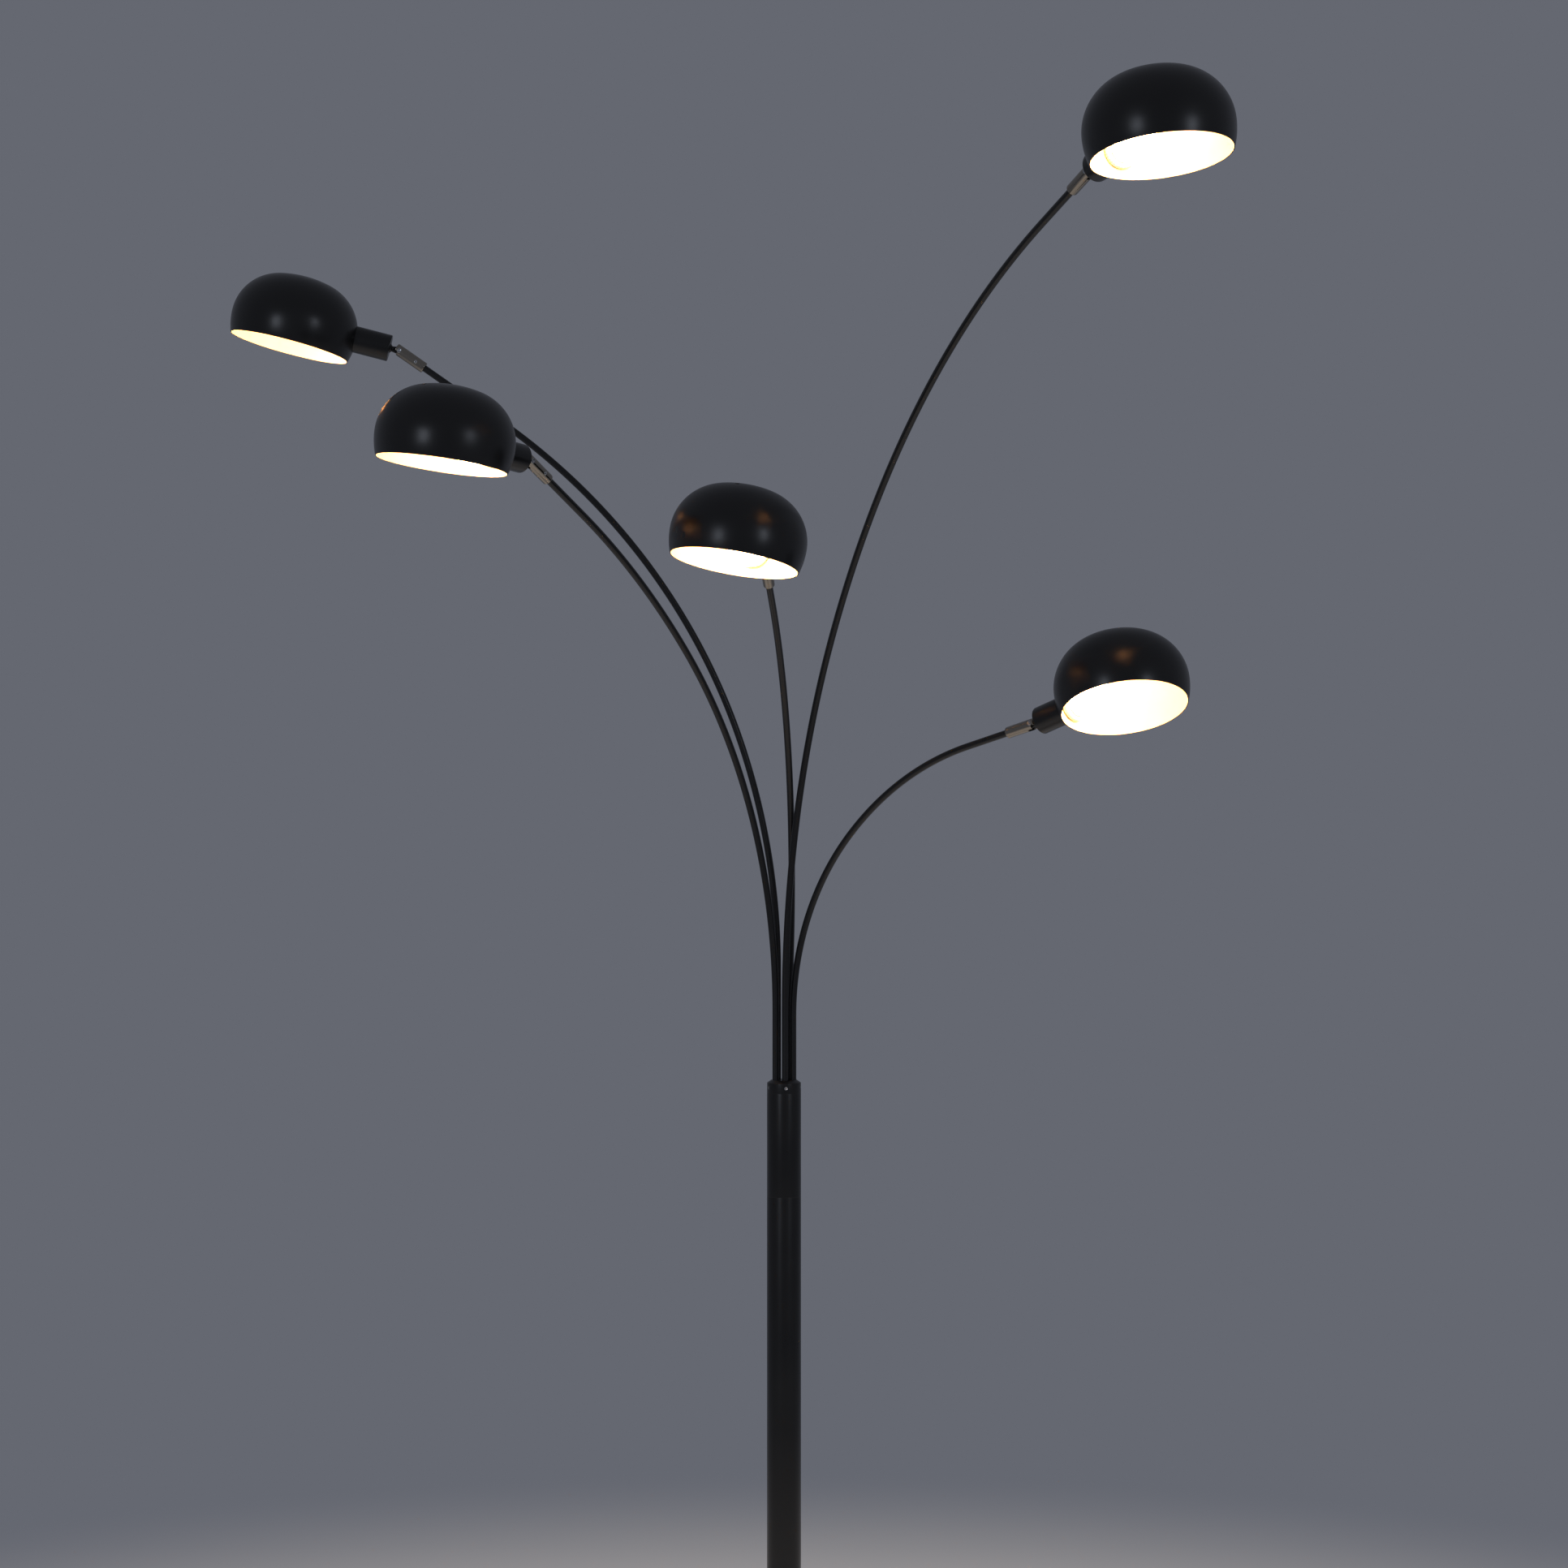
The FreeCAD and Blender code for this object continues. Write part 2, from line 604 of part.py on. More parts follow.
def cap_top():
    """The turned cap: chamfered rim, spigot, five bores and screw holes."""
    rim_bottom = CAP_TOP - CAP_RIM_H
    collar_top = CAP_TOP - CAP_CHAMFER_H
    rim = disc(POLE_R, rim_bottom, collar_top)
    chamfer = Part.makeCone(POLE_R, POLE_R - CAP_CHAMFER_W, CAP_CHAMFER_H, UP * collar_top)
    spigot = disc(POLE_R - POLE_WALL - SEAT_FIT, rim_bottom - CAP_SPIGOT_H, rim_bottom)
    body = rim.fuse([chamfer, spigot]).removeSplitter()
    floor = CAP_TOP - ROOT_DEPTH - PLAY
    for arm in ARMS.values():
        root = root_point(arm)
        spot = V(root.x, root.y, 0)
        body = body.cut(disc(TUBE_R + RUN_FIT, floor, CAP_TOP, spot))
        body = body.cut(disc(WIRE_HOLE_R, rim_bottom - CAP_SPIGOT_H, floor, spot))
        outward = V(root.x, root.y, 0).normalize()
        start = outward * RING_R + UP * (CAP_TOP - GRUB_BELOW_TOP)
        body = body.cut(Part.makeCylinder(GRUB_R + RUN_FIT, POLE_R, start, outward))
    return body


def cap_screws():
    """Five grub screws, one beside each tube."""
    screws = []
    inner = RING_R + TUBE_R + PLAY
    outer = POLE_R - PLAY
    for arm in ARMS.values():
        root = root_point(arm)
        outward = V(root.x, root.y, 0).normalize()
        level = UP * (CAP_TOP - GRUB_BELOW_TOP)
        screw = Part.makeCylinder(GRUB_R, outer - inner, outward * inner + level, outward)
        key = Part.makeCylinder(HEX_R, HEX_DEPTH, outward * (outer - HEX_DEPTH) + level, outward)
        screws.append(screw.cut(key))
    return Part.makeCompound(screws)


def build_stand():
    save("base_pad", base_pad())
    save("base_weight", base_weight())
    save("base_cover", base_cover())
    save("base_nipple", base_nipple())
    save("base_fixings", base_fixings())
    save("cable_gland", cable_gland())
    save("pole_foot", pole_foot())
    half_gap = SEAM_GAP / 2.0
    head_seam = CAP_TOP - HEAD_LEN
    save("pole_lower", pole_tube(COVER_TOP_CENTRE, POLE_SEAM - half_gap))
    save("pole_joiner", joiner(POLE_SEAM))
    save("pole_upper", pole_tube(POLE_SEAM + half_gap, head_seam - half_gap))
    save("head_joiner", joiner(head_seam))
    save("pole_head", pole_tube(head_seam + half_gap, CAP_TOP - CAP_RIM_H))
    save("pole_cap", cap_top())
    save("cap_screws", cap_screws())


def build_arms():
    sleeve = swivel_sleeve()
    screws = swivel_screws()
    head = {
        "neck": neck(),
        "cup": socket_cup(),
        "lampholder": lampholder(),
        "shade_ring": shade_ring(),
        "shade": shade(),
        "bulb": bulb(),
    }
    for name, arm in ARMS.items():
        save("arm_tube_" + name, arm_tube(arm))
        save("swivel_sleeve_" + name, placed(sleeve, swivel_frame(arm)))
        save("swivel_screws_" + name, placed(screws, swivel_frame(arm)))
        for piece, shape in head.items():
            save(piece + "_" + name, placed(shape, head_frame(arm)))


build_stand()
build_arms()
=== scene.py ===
# %% [markdown]
# # A tree floor lamp
#
# Five bent steel tubes grow out of one pole, and each carries a swivelling dome
# shade. The construction comes as a fixed frame of plain solids, one for every
# piece of the real lamp. This lesson gives those pieces their look: smooth
# turned and swept meshes, and a finish for each material.
#
# The frame is loaded first, because every size and place is read from it or
# measured from the same point, the middle of the base on the floor.

# %% Load the frame
import json
import math

import bmesh
import bpy
from mathutils import Matrix, Vector

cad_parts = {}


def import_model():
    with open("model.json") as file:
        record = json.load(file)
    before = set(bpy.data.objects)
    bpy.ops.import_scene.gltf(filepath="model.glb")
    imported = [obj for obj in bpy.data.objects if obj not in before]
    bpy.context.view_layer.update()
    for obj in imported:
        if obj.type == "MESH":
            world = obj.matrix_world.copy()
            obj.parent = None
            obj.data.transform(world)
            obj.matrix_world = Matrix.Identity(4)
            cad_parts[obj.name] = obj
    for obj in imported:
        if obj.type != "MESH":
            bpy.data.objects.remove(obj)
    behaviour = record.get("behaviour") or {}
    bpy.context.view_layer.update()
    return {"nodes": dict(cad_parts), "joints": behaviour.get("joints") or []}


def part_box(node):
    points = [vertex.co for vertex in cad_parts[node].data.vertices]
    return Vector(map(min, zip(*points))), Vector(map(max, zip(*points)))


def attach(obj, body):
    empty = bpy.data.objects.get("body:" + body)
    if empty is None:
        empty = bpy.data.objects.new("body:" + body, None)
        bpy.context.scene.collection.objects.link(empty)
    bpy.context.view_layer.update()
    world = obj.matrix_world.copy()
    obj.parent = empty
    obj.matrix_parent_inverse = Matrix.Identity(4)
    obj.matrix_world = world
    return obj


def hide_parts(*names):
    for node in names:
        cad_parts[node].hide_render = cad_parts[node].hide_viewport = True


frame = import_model()
joints = {joint["name"]: joint for joint in frame["joints"]}

# %% [markdown]
# ## Small tools
#
# Real lamp parts are drawn in millimetres, and Blender works in metres, so one
# constant turns the first into the second. A node tree is easier to read when a
# node is added with its settings and its inputs in one line.

# %% Millimetres, colours and nodes
MM = 0.001
ARM_NAMES = "abcde"


def colour(hex_code):
    """Linear red, green, blue and alpha of an sRGB hex colour."""
    channels = [int(hex_code[i:i + 2], 16) / 255.0 for i in (1, 3, 5)]
    linear = [c / 12.92 if c <= 0.04045 else ((c + 0.055) / 1.055) ** 2.4 for c in channels]
    return (*linear, 1.0)


def add_node(tree, kind, inputs=None, **settings):
    """Add a node. Each input is a value, or the output socket of another node."""
    node = tree.nodes.new(kind)
    for name, value in settings.items():
        setattr(node, name, value)
    for name, value in (inputs or {}).items():
        if isinstance(value, bpy.types.NodeSocket):
            tree.links.new(value, node.inputs[name])
        else:
            node.inputs[name].default_value = value
    return node


print("colour of a mid grey:", [round(c, 3) for c in colour("#808080")])

# %% [markdown]
# ## Where the arms and shades are
#
# Each arm has three joints: it turns in the pole's cap, its sleeve turns on the
# tube's end, and the shade nods about a screw in the sleeve. Their axes give
# two local frames. In both, X points out of the sleeve towards the shade, Y is
# the screw's axis and Z is the top.

# %% Local frames from the joints


def place(joint):
    return Vector(joints[joint]["pos_m"])


def axis(joint):
    return Vector(joints[joint]["axis"]).normalized()


def frame_matrix(origin, ahead, across):
    """The matrix that carries local axes to the lamp's frame."""
    ahead = ahead.normalized()
    top = ahead.cross(across).normalized()
    matrix = Matrix((ahead, top.cross(ahead), top)).transposed().to_4x4()
    matrix.translation = origin
    return matrix


def sleeve_frame(arm):
    return frame_matrix(place("head_tilt_" + arm), axis("sleeve_turn_" + arm), axis("head_tilt_" + arm))


def head_frame(arm):
    """The bulb's far end lies on the cup's axis, so it gives the direction."""
    pivot = place("head_tilt_" + arm)
    vertices = frame["nodes"]["bulb_" + arm].data.vertices
    tip = max((v.co for v in vertices), key=lambda co: (co - pivot).length)
    return frame_matrix(pivot, tip - pivot, axis("head_tilt_" + arm))


for arm in ARM_NAMES:
    direction = head_frame(arm).to_3x3() @ Vector((1, 0, 0))
    print("shade", arm, "points", [round(v, 3) for v in direction])

# %% [markdown]
# ## The camera
#
# The picture was taken from a little above the cap's height, level and straight
# on, from almost four metres away. The pole is 40 mm wide and 40.45 pixels
# wide in the picture, which fixes the focal length.

# %% Camera
PICTURE_WIDTH = 1932.0
FOCAL_PIXELS = 3893.0
SENSOR = 36.0
CAMERA_BACK = 3.850
CAMERA_ABOVE_CAP = 0.361

cap_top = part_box("pole_cap")[1].z
camera = bpy.data.objects.new("camera", bpy.data.cameras.new("camera"))
camera.data.sensor_width = SENSOR
camera.data.lens = SENSOR * FOCAL_PIXELS / PICTURE_WIDTH
camera.location = (0.0, -CAMERA_BACK, cap_top + CAMERA_ABOVE_CAP)
camera.rotation_euler = (math.radians(90.0), 0.0, 0.0)
bpy.context.scene.collection.objects.link(camera)
bpy.context.scene.camera = camera
print("camera at", [round(v, 3) for v in camera.location], "lens", round(camera.data.lens, 2))

# %% [markdown]
# ## Satin black paint
#
# The pole, tubes, cups and the outside of the shades are steel, sprayed with a
# satin black enamel. It is a dielectric skin with an index near 1.5, dark but
# not pure black, and its surface is slightly uneven, like orange peel. That
# unevenness is what softens the edge of every reflection. Real peel is about a
# millimetre across, and it is drawn a little coarser so that it shows.

# %% Material: satin black enamel
PEEL_SIZE = 1.6 * MM
PEEL_HEIGHT = 0.012 * MM
CLOUD_SIZE = 55.0 * MM


def new_material(name):
    """An empty material with its output node. Returns it and its tree."""
    material = bpy.data.materials.new(name)
    material.use_nodes = True
    material.node_tree.nodes.clear()
    return material, material.node_tree


def finish_material(tree, shader):
    add_node(tree, "ShaderNodeOutputMaterial", {"Surface": shader.outputs[0]})


def black_enamel():
    material, tree = new_material("satin black enamel on steel")
    coords = add_node(tree, "ShaderNodeTexCoord").outputs["Object"]
    cloud = add_node(tree, "ShaderNodeTexNoise", {"Vector": coords, "Scale": 1.0 / CLOUD_SIZE, "Detail": 3.0})
    tint = add_node(tree, "ShaderNodeMix", {
        0: cloud.outputs["Fac"], 6: colour("#060607"), 7: colour("#0a0a0b")}, data_type="RGBA")
    dull = add_node(tree, "ShaderNodeMapRange", {
        "Value": cloud.outputs["Fac"], "From Min": 0.3, "From Max": 0.7, "To Min": 0.27, "To Max": 0.34})
    peel = add_node(tree, "ShaderNodeTexNoise", {"Vector": coords, "Scale": 1.0 / PEEL_SIZE, "Detail": 1.0})
    bump = add_node(tree, "ShaderNodeBump", {
        "Height": peel.outputs["Fac"], "Strength": 0.35, "Distance": PEEL_HEIGHT})
    shader = add_node(tree, "ShaderNodeBsdfPrincipled", {
        "Base Color": tint.outputs[2], "Roughness": dull.outputs["Result"], "Normal": bump.outputs["Normal"],
        "IOR": 1.5})
    finish_material(tree, shader)
    return material


BLACK = black_enamel()
print(BLACK.name)

# %% [markdown]
# ## White enamel inside the shades
#
# The inside is sprayed white so that it throws the light down. It was sprayed
# into a bowl, so it is a touch glossier than the outside and has a faint
# unevenness. Nothing glows by itself here: the bulb lights it.

# %% Material: white enamel
SPRAY_SIZE = 18.0 * MM


def white_enamel():
    material, tree = new_material("white enamel on steel")
    coords = add_node(tree, "ShaderNodeTexCoord").outputs["Object"]
    spray = add_node(tree, "ShaderNodeTexNoise", {"Vector": coords, "Scale": 1.0 / SPRAY_SIZE, "Detail": 4.0})
    tint = add_node(tree, "ShaderNodeMix", {
        0: spray.outputs["Fac"], 6: colour("#e9e0cb"), 7: colour("#f0e8d6")}, data_type="RGBA")
    dull = add_node(tree, "ShaderNodeMapRange", {
        "Value": spray.outputs["Fac"], "From Min": 0.3, "From Max": 0.7, "To Min": 0.36, "To Max": 0.46})
    shader = add_node(tree, "ShaderNodeBsdfPrincipled", {
        "Base Color": tint.outputs[2], "Roughness": dull.outputs["Result"], "IOR": 1.5})
    finish_material(tree, shader)
    return material


WHITE = white_enamel()
print(WHITE.name)

# %% [markdown]
# ## Satin nickel
#
# The swivel sleeves are turned from brass bar and plated with satin nickel. The
# tool leaves very fine rings round the bar, so a highlight is sharp along the
# sleeve and soft round it. The rings follow the turned surface, so they read
# the piece's own map, which every turned piece gets below: its second axis runs
# along the turned outline, in metres.

# %% Material: satin nickel
TOOL_RING = 0.8 * MM
TOOL_RING_HEIGHT = 0.002 * MM
MAP_NAME = "turned"


def satin_nickel(name, light, dark, smooth, rough):
    material, tree = new_material(name)
    where = add_node(tree, "ShaderNodeUVMap", uv_map=MAP_NAME)
    stretch = add_node(tree, "ShaderNodeMapping", {
        "Vector": where.outputs["UV"], "Scale": (2.0, 1.0 / TOOL_RING, 1.0)})
    rings = add_node(tree, "ShaderNodeTexNoise", {
        "Vector": stretch.outputs["Vector"], "Scale": 1.0, "Detail": 2.0})
    tint = add_node(tree, "ShaderNodeMix", {
        0: rings.outputs["Fac"], 6: colour(light), 7: colour(dark)}, data_type="RGBA")
    dull = add_node(tree, "ShaderNodeMapRange", {
        "Value": rings.outputs["Fac"], "From Min": 0.25, "From Max": 0.75, "To Min": smooth, "To Max": rough})
    bump = add_node(tree, "ShaderNodeBump", {
        "Height": rings.outputs["Fac"], "Strength": 0.5, "Distance": TOOL_RING_HEIGHT})
    shader = add_node(tree, "ShaderNodeBsdfPrincipled", {
        "Base Color": tint.outputs[2], "Metallic": 1.0, "Roughness": dull.outputs["Result"],
        "Normal": bump.outputs["Normal"]})
    finish_material(tree, shader)
    return material


NICKEL = satin_nickel("satin nickel on brass", "#a29b90", "#928b80", 0.16, 0.21)
SCREW_STEEL = satin_nickel("bright zinc on steel screws", "#c9cacb", "#a5a7aa", 0.22, 0.34)
print(NICKEL.name, "and", SCREW_STEEL.name)

# %% [markdown]
# ## Plastic, rubber and iron
#
# The lampholder and its ring are white heat-proof plastic, the gland is black
# nylon, the foot pad is rubber and the weight is sand-cast iron. All four take
# the surface of the mould that they come from, and differ in how deep and how
# even it is, so one function makes them from a grain size and a roughness.

# %% Material: moulded plastic and rubber


def moulded(name, light, dark, rough, grain, relief):
    """A moulded surface: a fine spark-eroded grain of the tool, and faint flow marks."""
    material, tree = new_material(name)
    coords = add_node(tree, "ShaderNodeTexCoord").outputs["Object"]
    flow = add_node(tree, "ShaderNodeTexNoise", {"Vector": coords, "Scale": 0.1 / grain, "Detail": 2.0})
    tint = add_node(tree, "ShaderNodeMix", {
        0: flow.outputs["Fac"], 6: colour(light), 7: colour(dark)}, data_type="RGBA")
    dull = add_node(tree, "ShaderNodeMapRange", {
        "Value": flow.outputs["Fac"], "From Min": 0.3, "From Max": 0.7,
        "To Min": rough - 0.05, "To Max": rough + 0.05})
    grit = add_node(tree, "ShaderNodeTexNoise", {"Vector": coords, "Scale": 1.0 / grain, "Detail": 2.0})
    bump = add_node(tree, "ShaderNodeBump", {
        "Height": grit.outputs["Fac"], "Strength": 0.5, "Distance": relief})
    shader = add_node(tree, "ShaderNodeBsdfPrincipled", {
        "Base Color": tint.outputs[2], "Roughness": dull.outputs["Result"], "Normal": bump.outputs["Normal"],
        "IOR": 1.49})
    finish_material(tree, shader)
    return material


HOLDER_WHITE = moulded("white heat-proof plastic", "#efe9da", "#e2dac8", 0.42, 0.6 * MM, 0.01 * MM)
NYLON = moulded("black nylon", "#141415", "#1b1b1c", 0.5, 0.5 * MM, 0.02 * MM)
RUBBER = moulded("black rubber", "#171716", "#22211f", 0.82, 0.9 * MM, 0.06 * MM)
IRON = moulded("sand-cast iron", "#3a3836", "#2b2a29", 0.68, 1.4 * MM, 0.16 * MM)
print(HOLDER_WHITE.name, NYLON.name, RUBBER.name, IRON.name)

# %% [markdown]
# ## The lit bulb
#
# The bulb is a ball of opal glass, lit from inside. A point lamp in its place
# would light the shade as well, but the ball would stay dark. So the glass
# carries the emission: it is seen as one even bright shape, and it is the only
# thing that lights the white enamel round it.

# %% Material: the lit opal bulb
BULB_STRENGTH = 50.0


def lit_opal():
    """Opal glass over a warm source, with a faint haze in its warm tint."""
    material, tree = new_material("lit opal glass")
    coords = add_node(tree, "ShaderNodeTexCoord").outputs["Object"]
    haze = add_node(tree, "ShaderNodeTexNoise", {"Vector": coords, "Scale": 1.0 / (30.0 * MM), "Detail": 1.0})
    tint = add_node(tree, "ShaderNodeMix", {
        0: haze.outputs["Fac"], 6: colour("#ffb97c"), 7: colour("#ffb373")}, data_type="RGBA")
    shader = add_node(tree, "ShaderNodeBsdfPrincipled", {
        "Base Color": colour("#fff6e6"), "Roughness": 0.25, "IOR": 1.5,
        "Emission Color": tint.outputs[2], "Emission Strength": BULB_STRENGTH})
    finish_material(tree, shader)
    return material


OPAL = lit_opal()
print(OPAL.name, "at strength", BULB_STRENGTH)

# %% [markdown]
# ## Turned shapes
#
# Pole, cap, sleeves, cups, holders, bulbs and the spun shades are all bodies of
# revolution. On a lathe they start from an outline, and here too: an outline is
# a closed list of points, each a distance along the axis and a radius. Spinning
# it by hand, rather than with the Screw modifier, lets each stretch of outline
# keep its own finish and gives the surface a map in real metres.

# %% Outlines and turning
STEPS_ROUND = 96
CORNER_STEPS = 5
CREASE = math.radians(32.0)


def rounded(corners):
    """An outline from (along, radius, corner radius) triples, in millimetres."""
    outline = []
    for index, (along, radius, corner) in enumerate(corners):
        here = Vector((along, radius))
        if corner == 0.0:
            outline.append(tuple(here))
            continue
        back = (Vector(corners[index - 1][:2]) - here).normalized()
        on = (Vector(corners[(index + 1) % len(corners)][:2]) - here).normalized()
        half = back.angle(on) / 2.0
        centre = here + (back + on).normalized() * (corner / math.sin(half))
        first = here + back * (corner / math.tan(half)) - centre
        last = here + on * (corner / math.tan(half)) - centre
        for step in range(CORNER_STEPS + 1):
            outline.append(tuple(centre + first.slerp(last, step / CORNER_STEPS)))
    return outline


def turned(name, outline, finishes, finish_of=None, steps=STEPS_ROUND):
    """A mesh turned about local X from an outline in millimetres."""
    shape = bmesh.new()
    layer = shape.loops.layers.uv.new(MAP_NAME)
    rings = []
    lengths = [0.0]
    for index, (along, radius) in enumerate(outline):
        if radius < 1e-6:
            point = shape.verts.new((along * MM, 0.0, 0.0))
            rings.append([point] * steps)
        else:
            ring = []
            for step in range(steps):
                angle = 2.0 * math.pi * step / steps
                ring.append(shape.verts.new((
                    along * MM, radius * MM * math.cos(angle), radius * MM * math.sin(angle))))
            rings.append(ring)
        following = outline[(index + 1) % len(outline)]
        lengths.append(lengths[-1] + math.dist((along, radius), following) * MM)
    for index, ring in enumerate(rings):
        following = rings[(index + 1) % len(rings)]
        for step in range(steps):
            turn = (step + 1) % steps
            corners = [(ring[step], step, index), (ring[turn], step + 1, index),
                       (following[turn], step + 1, index + 1), (following[step], step, index + 1)]
            unique = {vertex: (u, v) for vertex, u, v in corners}
            if len(unique) < 3:
                continue
            face = shape.faces.new(list(unique))
            face.material_index = finish_of(index) if finish_of else 0
            for loop in face.loops:
                u, v = unique[loop.vert]
                loop[layer].uv = (u / steps, lengths[v])
    bmesh.ops.recalc_face_normals(shape, faces=shape.faces)
    mesh = bpy.data.meshes.new(name)
    shape.to_mesh(mesh)
    shape.free()
    for finish in finishes:
        mesh.materials.append(finish)
    return mesh


def soften(mesh):
    """Smooth shading, with the real edges kept sharp."""
    mesh.shade_smooth()
    mesh.set_sharp_from_angle(angle=CREASE)


def add_piece(name, mesh, matrix, body, nodes):
    """Set a mesh in its place, let it ride its body and stand for its nodes."""
    mesh.transform(matrix)
    soften(mesh)
    piece = bpy.data.objects.new(name, mesh)
    bpy.context.scene.collection.objects.link(piece)
    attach(piece, body)
    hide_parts(*nodes)
    return piece


UPRIGHT = Matrix.Rotation(math.radians(-90.0), 4, "Y")
print("one turn has", STEPS_ROUND, "steps")

# %% [markdown]
# ## Cutting holes and slots
#
# Slots and cross holes are cut with the exact Boolean, as a mill would cut
# them. The cutter is a rough block or a turned rod in the same local frame, and
# the modifier is applied at once, so only a plain mesh is left.

# %% Cutters


def rod(start, end, radius, steps=48):
    """A plain rod along local X, as a cutter."""
    outline = [(start, 0.0), (start, radius), (end, radius), (end, 0.0)]
    return turned("cutter", outline, [], steps=steps)


def cross_rod(start, end, radius, along=0.0):
    """A plain rod along local Y."""
    mesh = rod(start, end, radius)
    mesh.transform(Matrix.Translation((along * MM, 0, 0)) @ Matrix.Rotation(math.radians(90.0), 4, "Z"))
    return mesh


def block(x0, x1, y0, y1, z0, z1):
    shape = bmesh.new()
    bmesh.ops.create_cube(shape, size=1.0)
    size = Matrix.Diagonal(((x1 - x0) * MM, (y1 - y0) * MM, (z1 - z0) * MM, 1.0))
    middle = Matrix.Translation(((x0 + x1) * MM / 2, (y0 + y1) * MM / 2, (z0 + z1) * MM / 2))
    bmesh.ops.transform(shape, matrix=middle @ size, verts=shape.verts)
    mesh = bpy.data.meshes.new("cutter")
    shape.to_mesh(mesh)
    shape.free()
    return mesh


def evaluated(piece):
    """A plain mesh of an object with its modifiers in it."""
    graph = bpy.context.evaluated_depsgraph_get()
    return bpy.data.meshes.new_from_object(piece.evaluated_get(graph), depsgraph=graph)


def carved(mesh, cutters):
    """The mesh with each cutter taken out of it."""
    body = bpy.data.objects.new("blank", mesh)
    bpy.context.scene.collection.objects.link(body)
    tools = []
    for cutter in cutters:
        tool = bpy.data.objects.new("cutter", cutter)
        bpy.context.scene.collection.objects.link(tool)
        cut = body.modifiers.new("cut", "BOOLEAN")
        cut.operation = "DIFFERENCE"
        cut.solver = "EXACT"
        cut.object = tool
        tools.append(tool)
    result = evaluated(body)
    for scrap in [body, *tools]:
        bpy.data.objects.remove(scrap)
    return result


test_cut = carved(rod(0.0, 10.0, 5.0), [block(4.0, 6.0, -9.0, 9.0, 0.0, 9.0)])
print("a slotted rod has", len(test_cut.polygons), "faces")
bpy.data.meshes.remove(test_cut)

# %% [markdown]
# ## The pole
#
# The pole is a stack of plain tubes. They meet at fine seams, and in
# the picture only the seam below the cap shows, as a hairline step. Each tube
# has its true wall and a slightly broken edge, which catches the light there.

# %% Pole tubes
POLE_WALL = 1.5
EDGE = 0.25


def tube_outline(bottom, top, radius, wall, edge):
    return rounded([(bottom, radius - wall, edge), (bottom, radius, edge),
                    (top, radius, edge), (top, radius - wall, edge)])


def add_pole_tube(node):
    low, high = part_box(node)
    radius = (high.x - low.x) / 2.0 / MM
    outline = tube_outline(low.z / MM, high.z / MM, radius, POLE_WALL, EDGE)
    mesh = turned(node, outline, [BLACK], steps=128)
    add_piece(node + "_tube", mesh, UPRIGHT, "stand", [node])
    print(node, "from", round(low.z, 3), "to", round(high.z, 3), "m, radius", round(radius, 2), "mm")


for node in ("pole_head", "pole_lower", "pole_upper"):
    add_pole_tube(node)

# %% [markdown]
# ## The cap
#
# The cap closes the pole. It is turned, with a broad chamfer, and five bores
# take the tubes. A grub screw beside each bore sets how stiffly its tube turns,
# so five holes are cut into the side as well, each on the line from the pole's
# middle through its bore.

# %% The turned cap
CAP_RIM = 15.0
CAP_CHAMFER_HIGH = 3.0
CAP_CHAMFER_WIDE = 4.5
SPIGOT = 20.0
SPIGOT_GAP = 0.1
BORE_RADIUS = 4.05
GRUB_RADIUS = 2.0
GRUB_BELOW_TOP = 8.5
BORE_DEPTH = 25.3
POLE_RADIUS = 20.0

roots = {arm: place("arm_swing_" + arm) for arm in ARM_NAMES}
cap_mm = cap_top / MM


def cap_mesh():
    outline = rounded([
        (cap_mm - CAP_RIM - SPIGOT, 0.0, 0.0),
        (cap_mm - CAP_RIM - SPIGOT, POLE_RADIUS - POLE_WALL - SPIGOT_GAP, 0.5),
        (cap_mm - CAP_RIM, POLE_RADIUS - POLE_WALL - SPIGOT_GAP, 0.0),
        (cap_mm - CAP_RIM, POLE_RADIUS, EDGE),
        (cap_mm - CAP_CHAMFER_HIGH, POLE_RADIUS, 0.4),
        (cap_mm, POLE_RADIUS - CAP_CHAMFER_WIDE, 0.3),
        (cap_mm, 0.0, 0.0)])
    mesh = turned("pole_cap", outline, [BLACK], steps=128)
    mesh.transform(UPRIGHT)
    cutters = []
    for root in roots.values():
        bore = rod(cap_mm - BORE_DEPTH, cap_mm + 5.0, BORE_RADIUS)
        bore.transform(Matrix.Translation((root.x, root.y, 0.0)) @ UPRIGHT)
        cutters.append(bore)
        turn = math.atan2(root.y, root.x)
        grub = rod(Vector(root.xy).length / MM, POLE_RADIUS + 5.0, GRUB_RADIUS + 0.05)
        lift = Matrix.Translation((0, 0, cap_top - GRUB_BELOW_TOP * MM))
        grub.transform(lift @ Matrix.Rotation(turn, 4, "Z"))
        cutters.append(grub)
    return carved(mesh, cutters)


add_piece("pole_cap_turned", cap_mesh(), Matrix.Identity(4), "stand", ["pole_cap"])
print("cap top at", round(cap_top, 4), "m")
print("bores at", [round(root.xy.length / MM, 1) for root in roots.values()], "mm from the middle")

# %% [markdown]
# ## A grub screw
#
# A grub screw has no head, only a socket for a hexagon key. It is turned, and
# its socket is cut with a rod of six sides, as a broach would cut it.

# %% One grub screw
GRUB_INNER = 15.5
GRUB_OUTER = 19.7
HEX_RADIUS = 1.15
HEX_DEPTH = 1.5


def socket_screw(name, start, end, radius, hex_radius, hex_depth):
    """A headless screw along X with a hexagon socket in its far end."""
    outline = rounded([(start, 0.0, 0.0), (start, radius, 0.4), (end, radius, 0.25), (end, 0.0, 0.0)])
    blank = turned(name, outline, [SCREW_STEEL], steps=48)
    return carved(blank, [rod(end - hex_depth, end + 1.0, hex_radius, steps=6)])


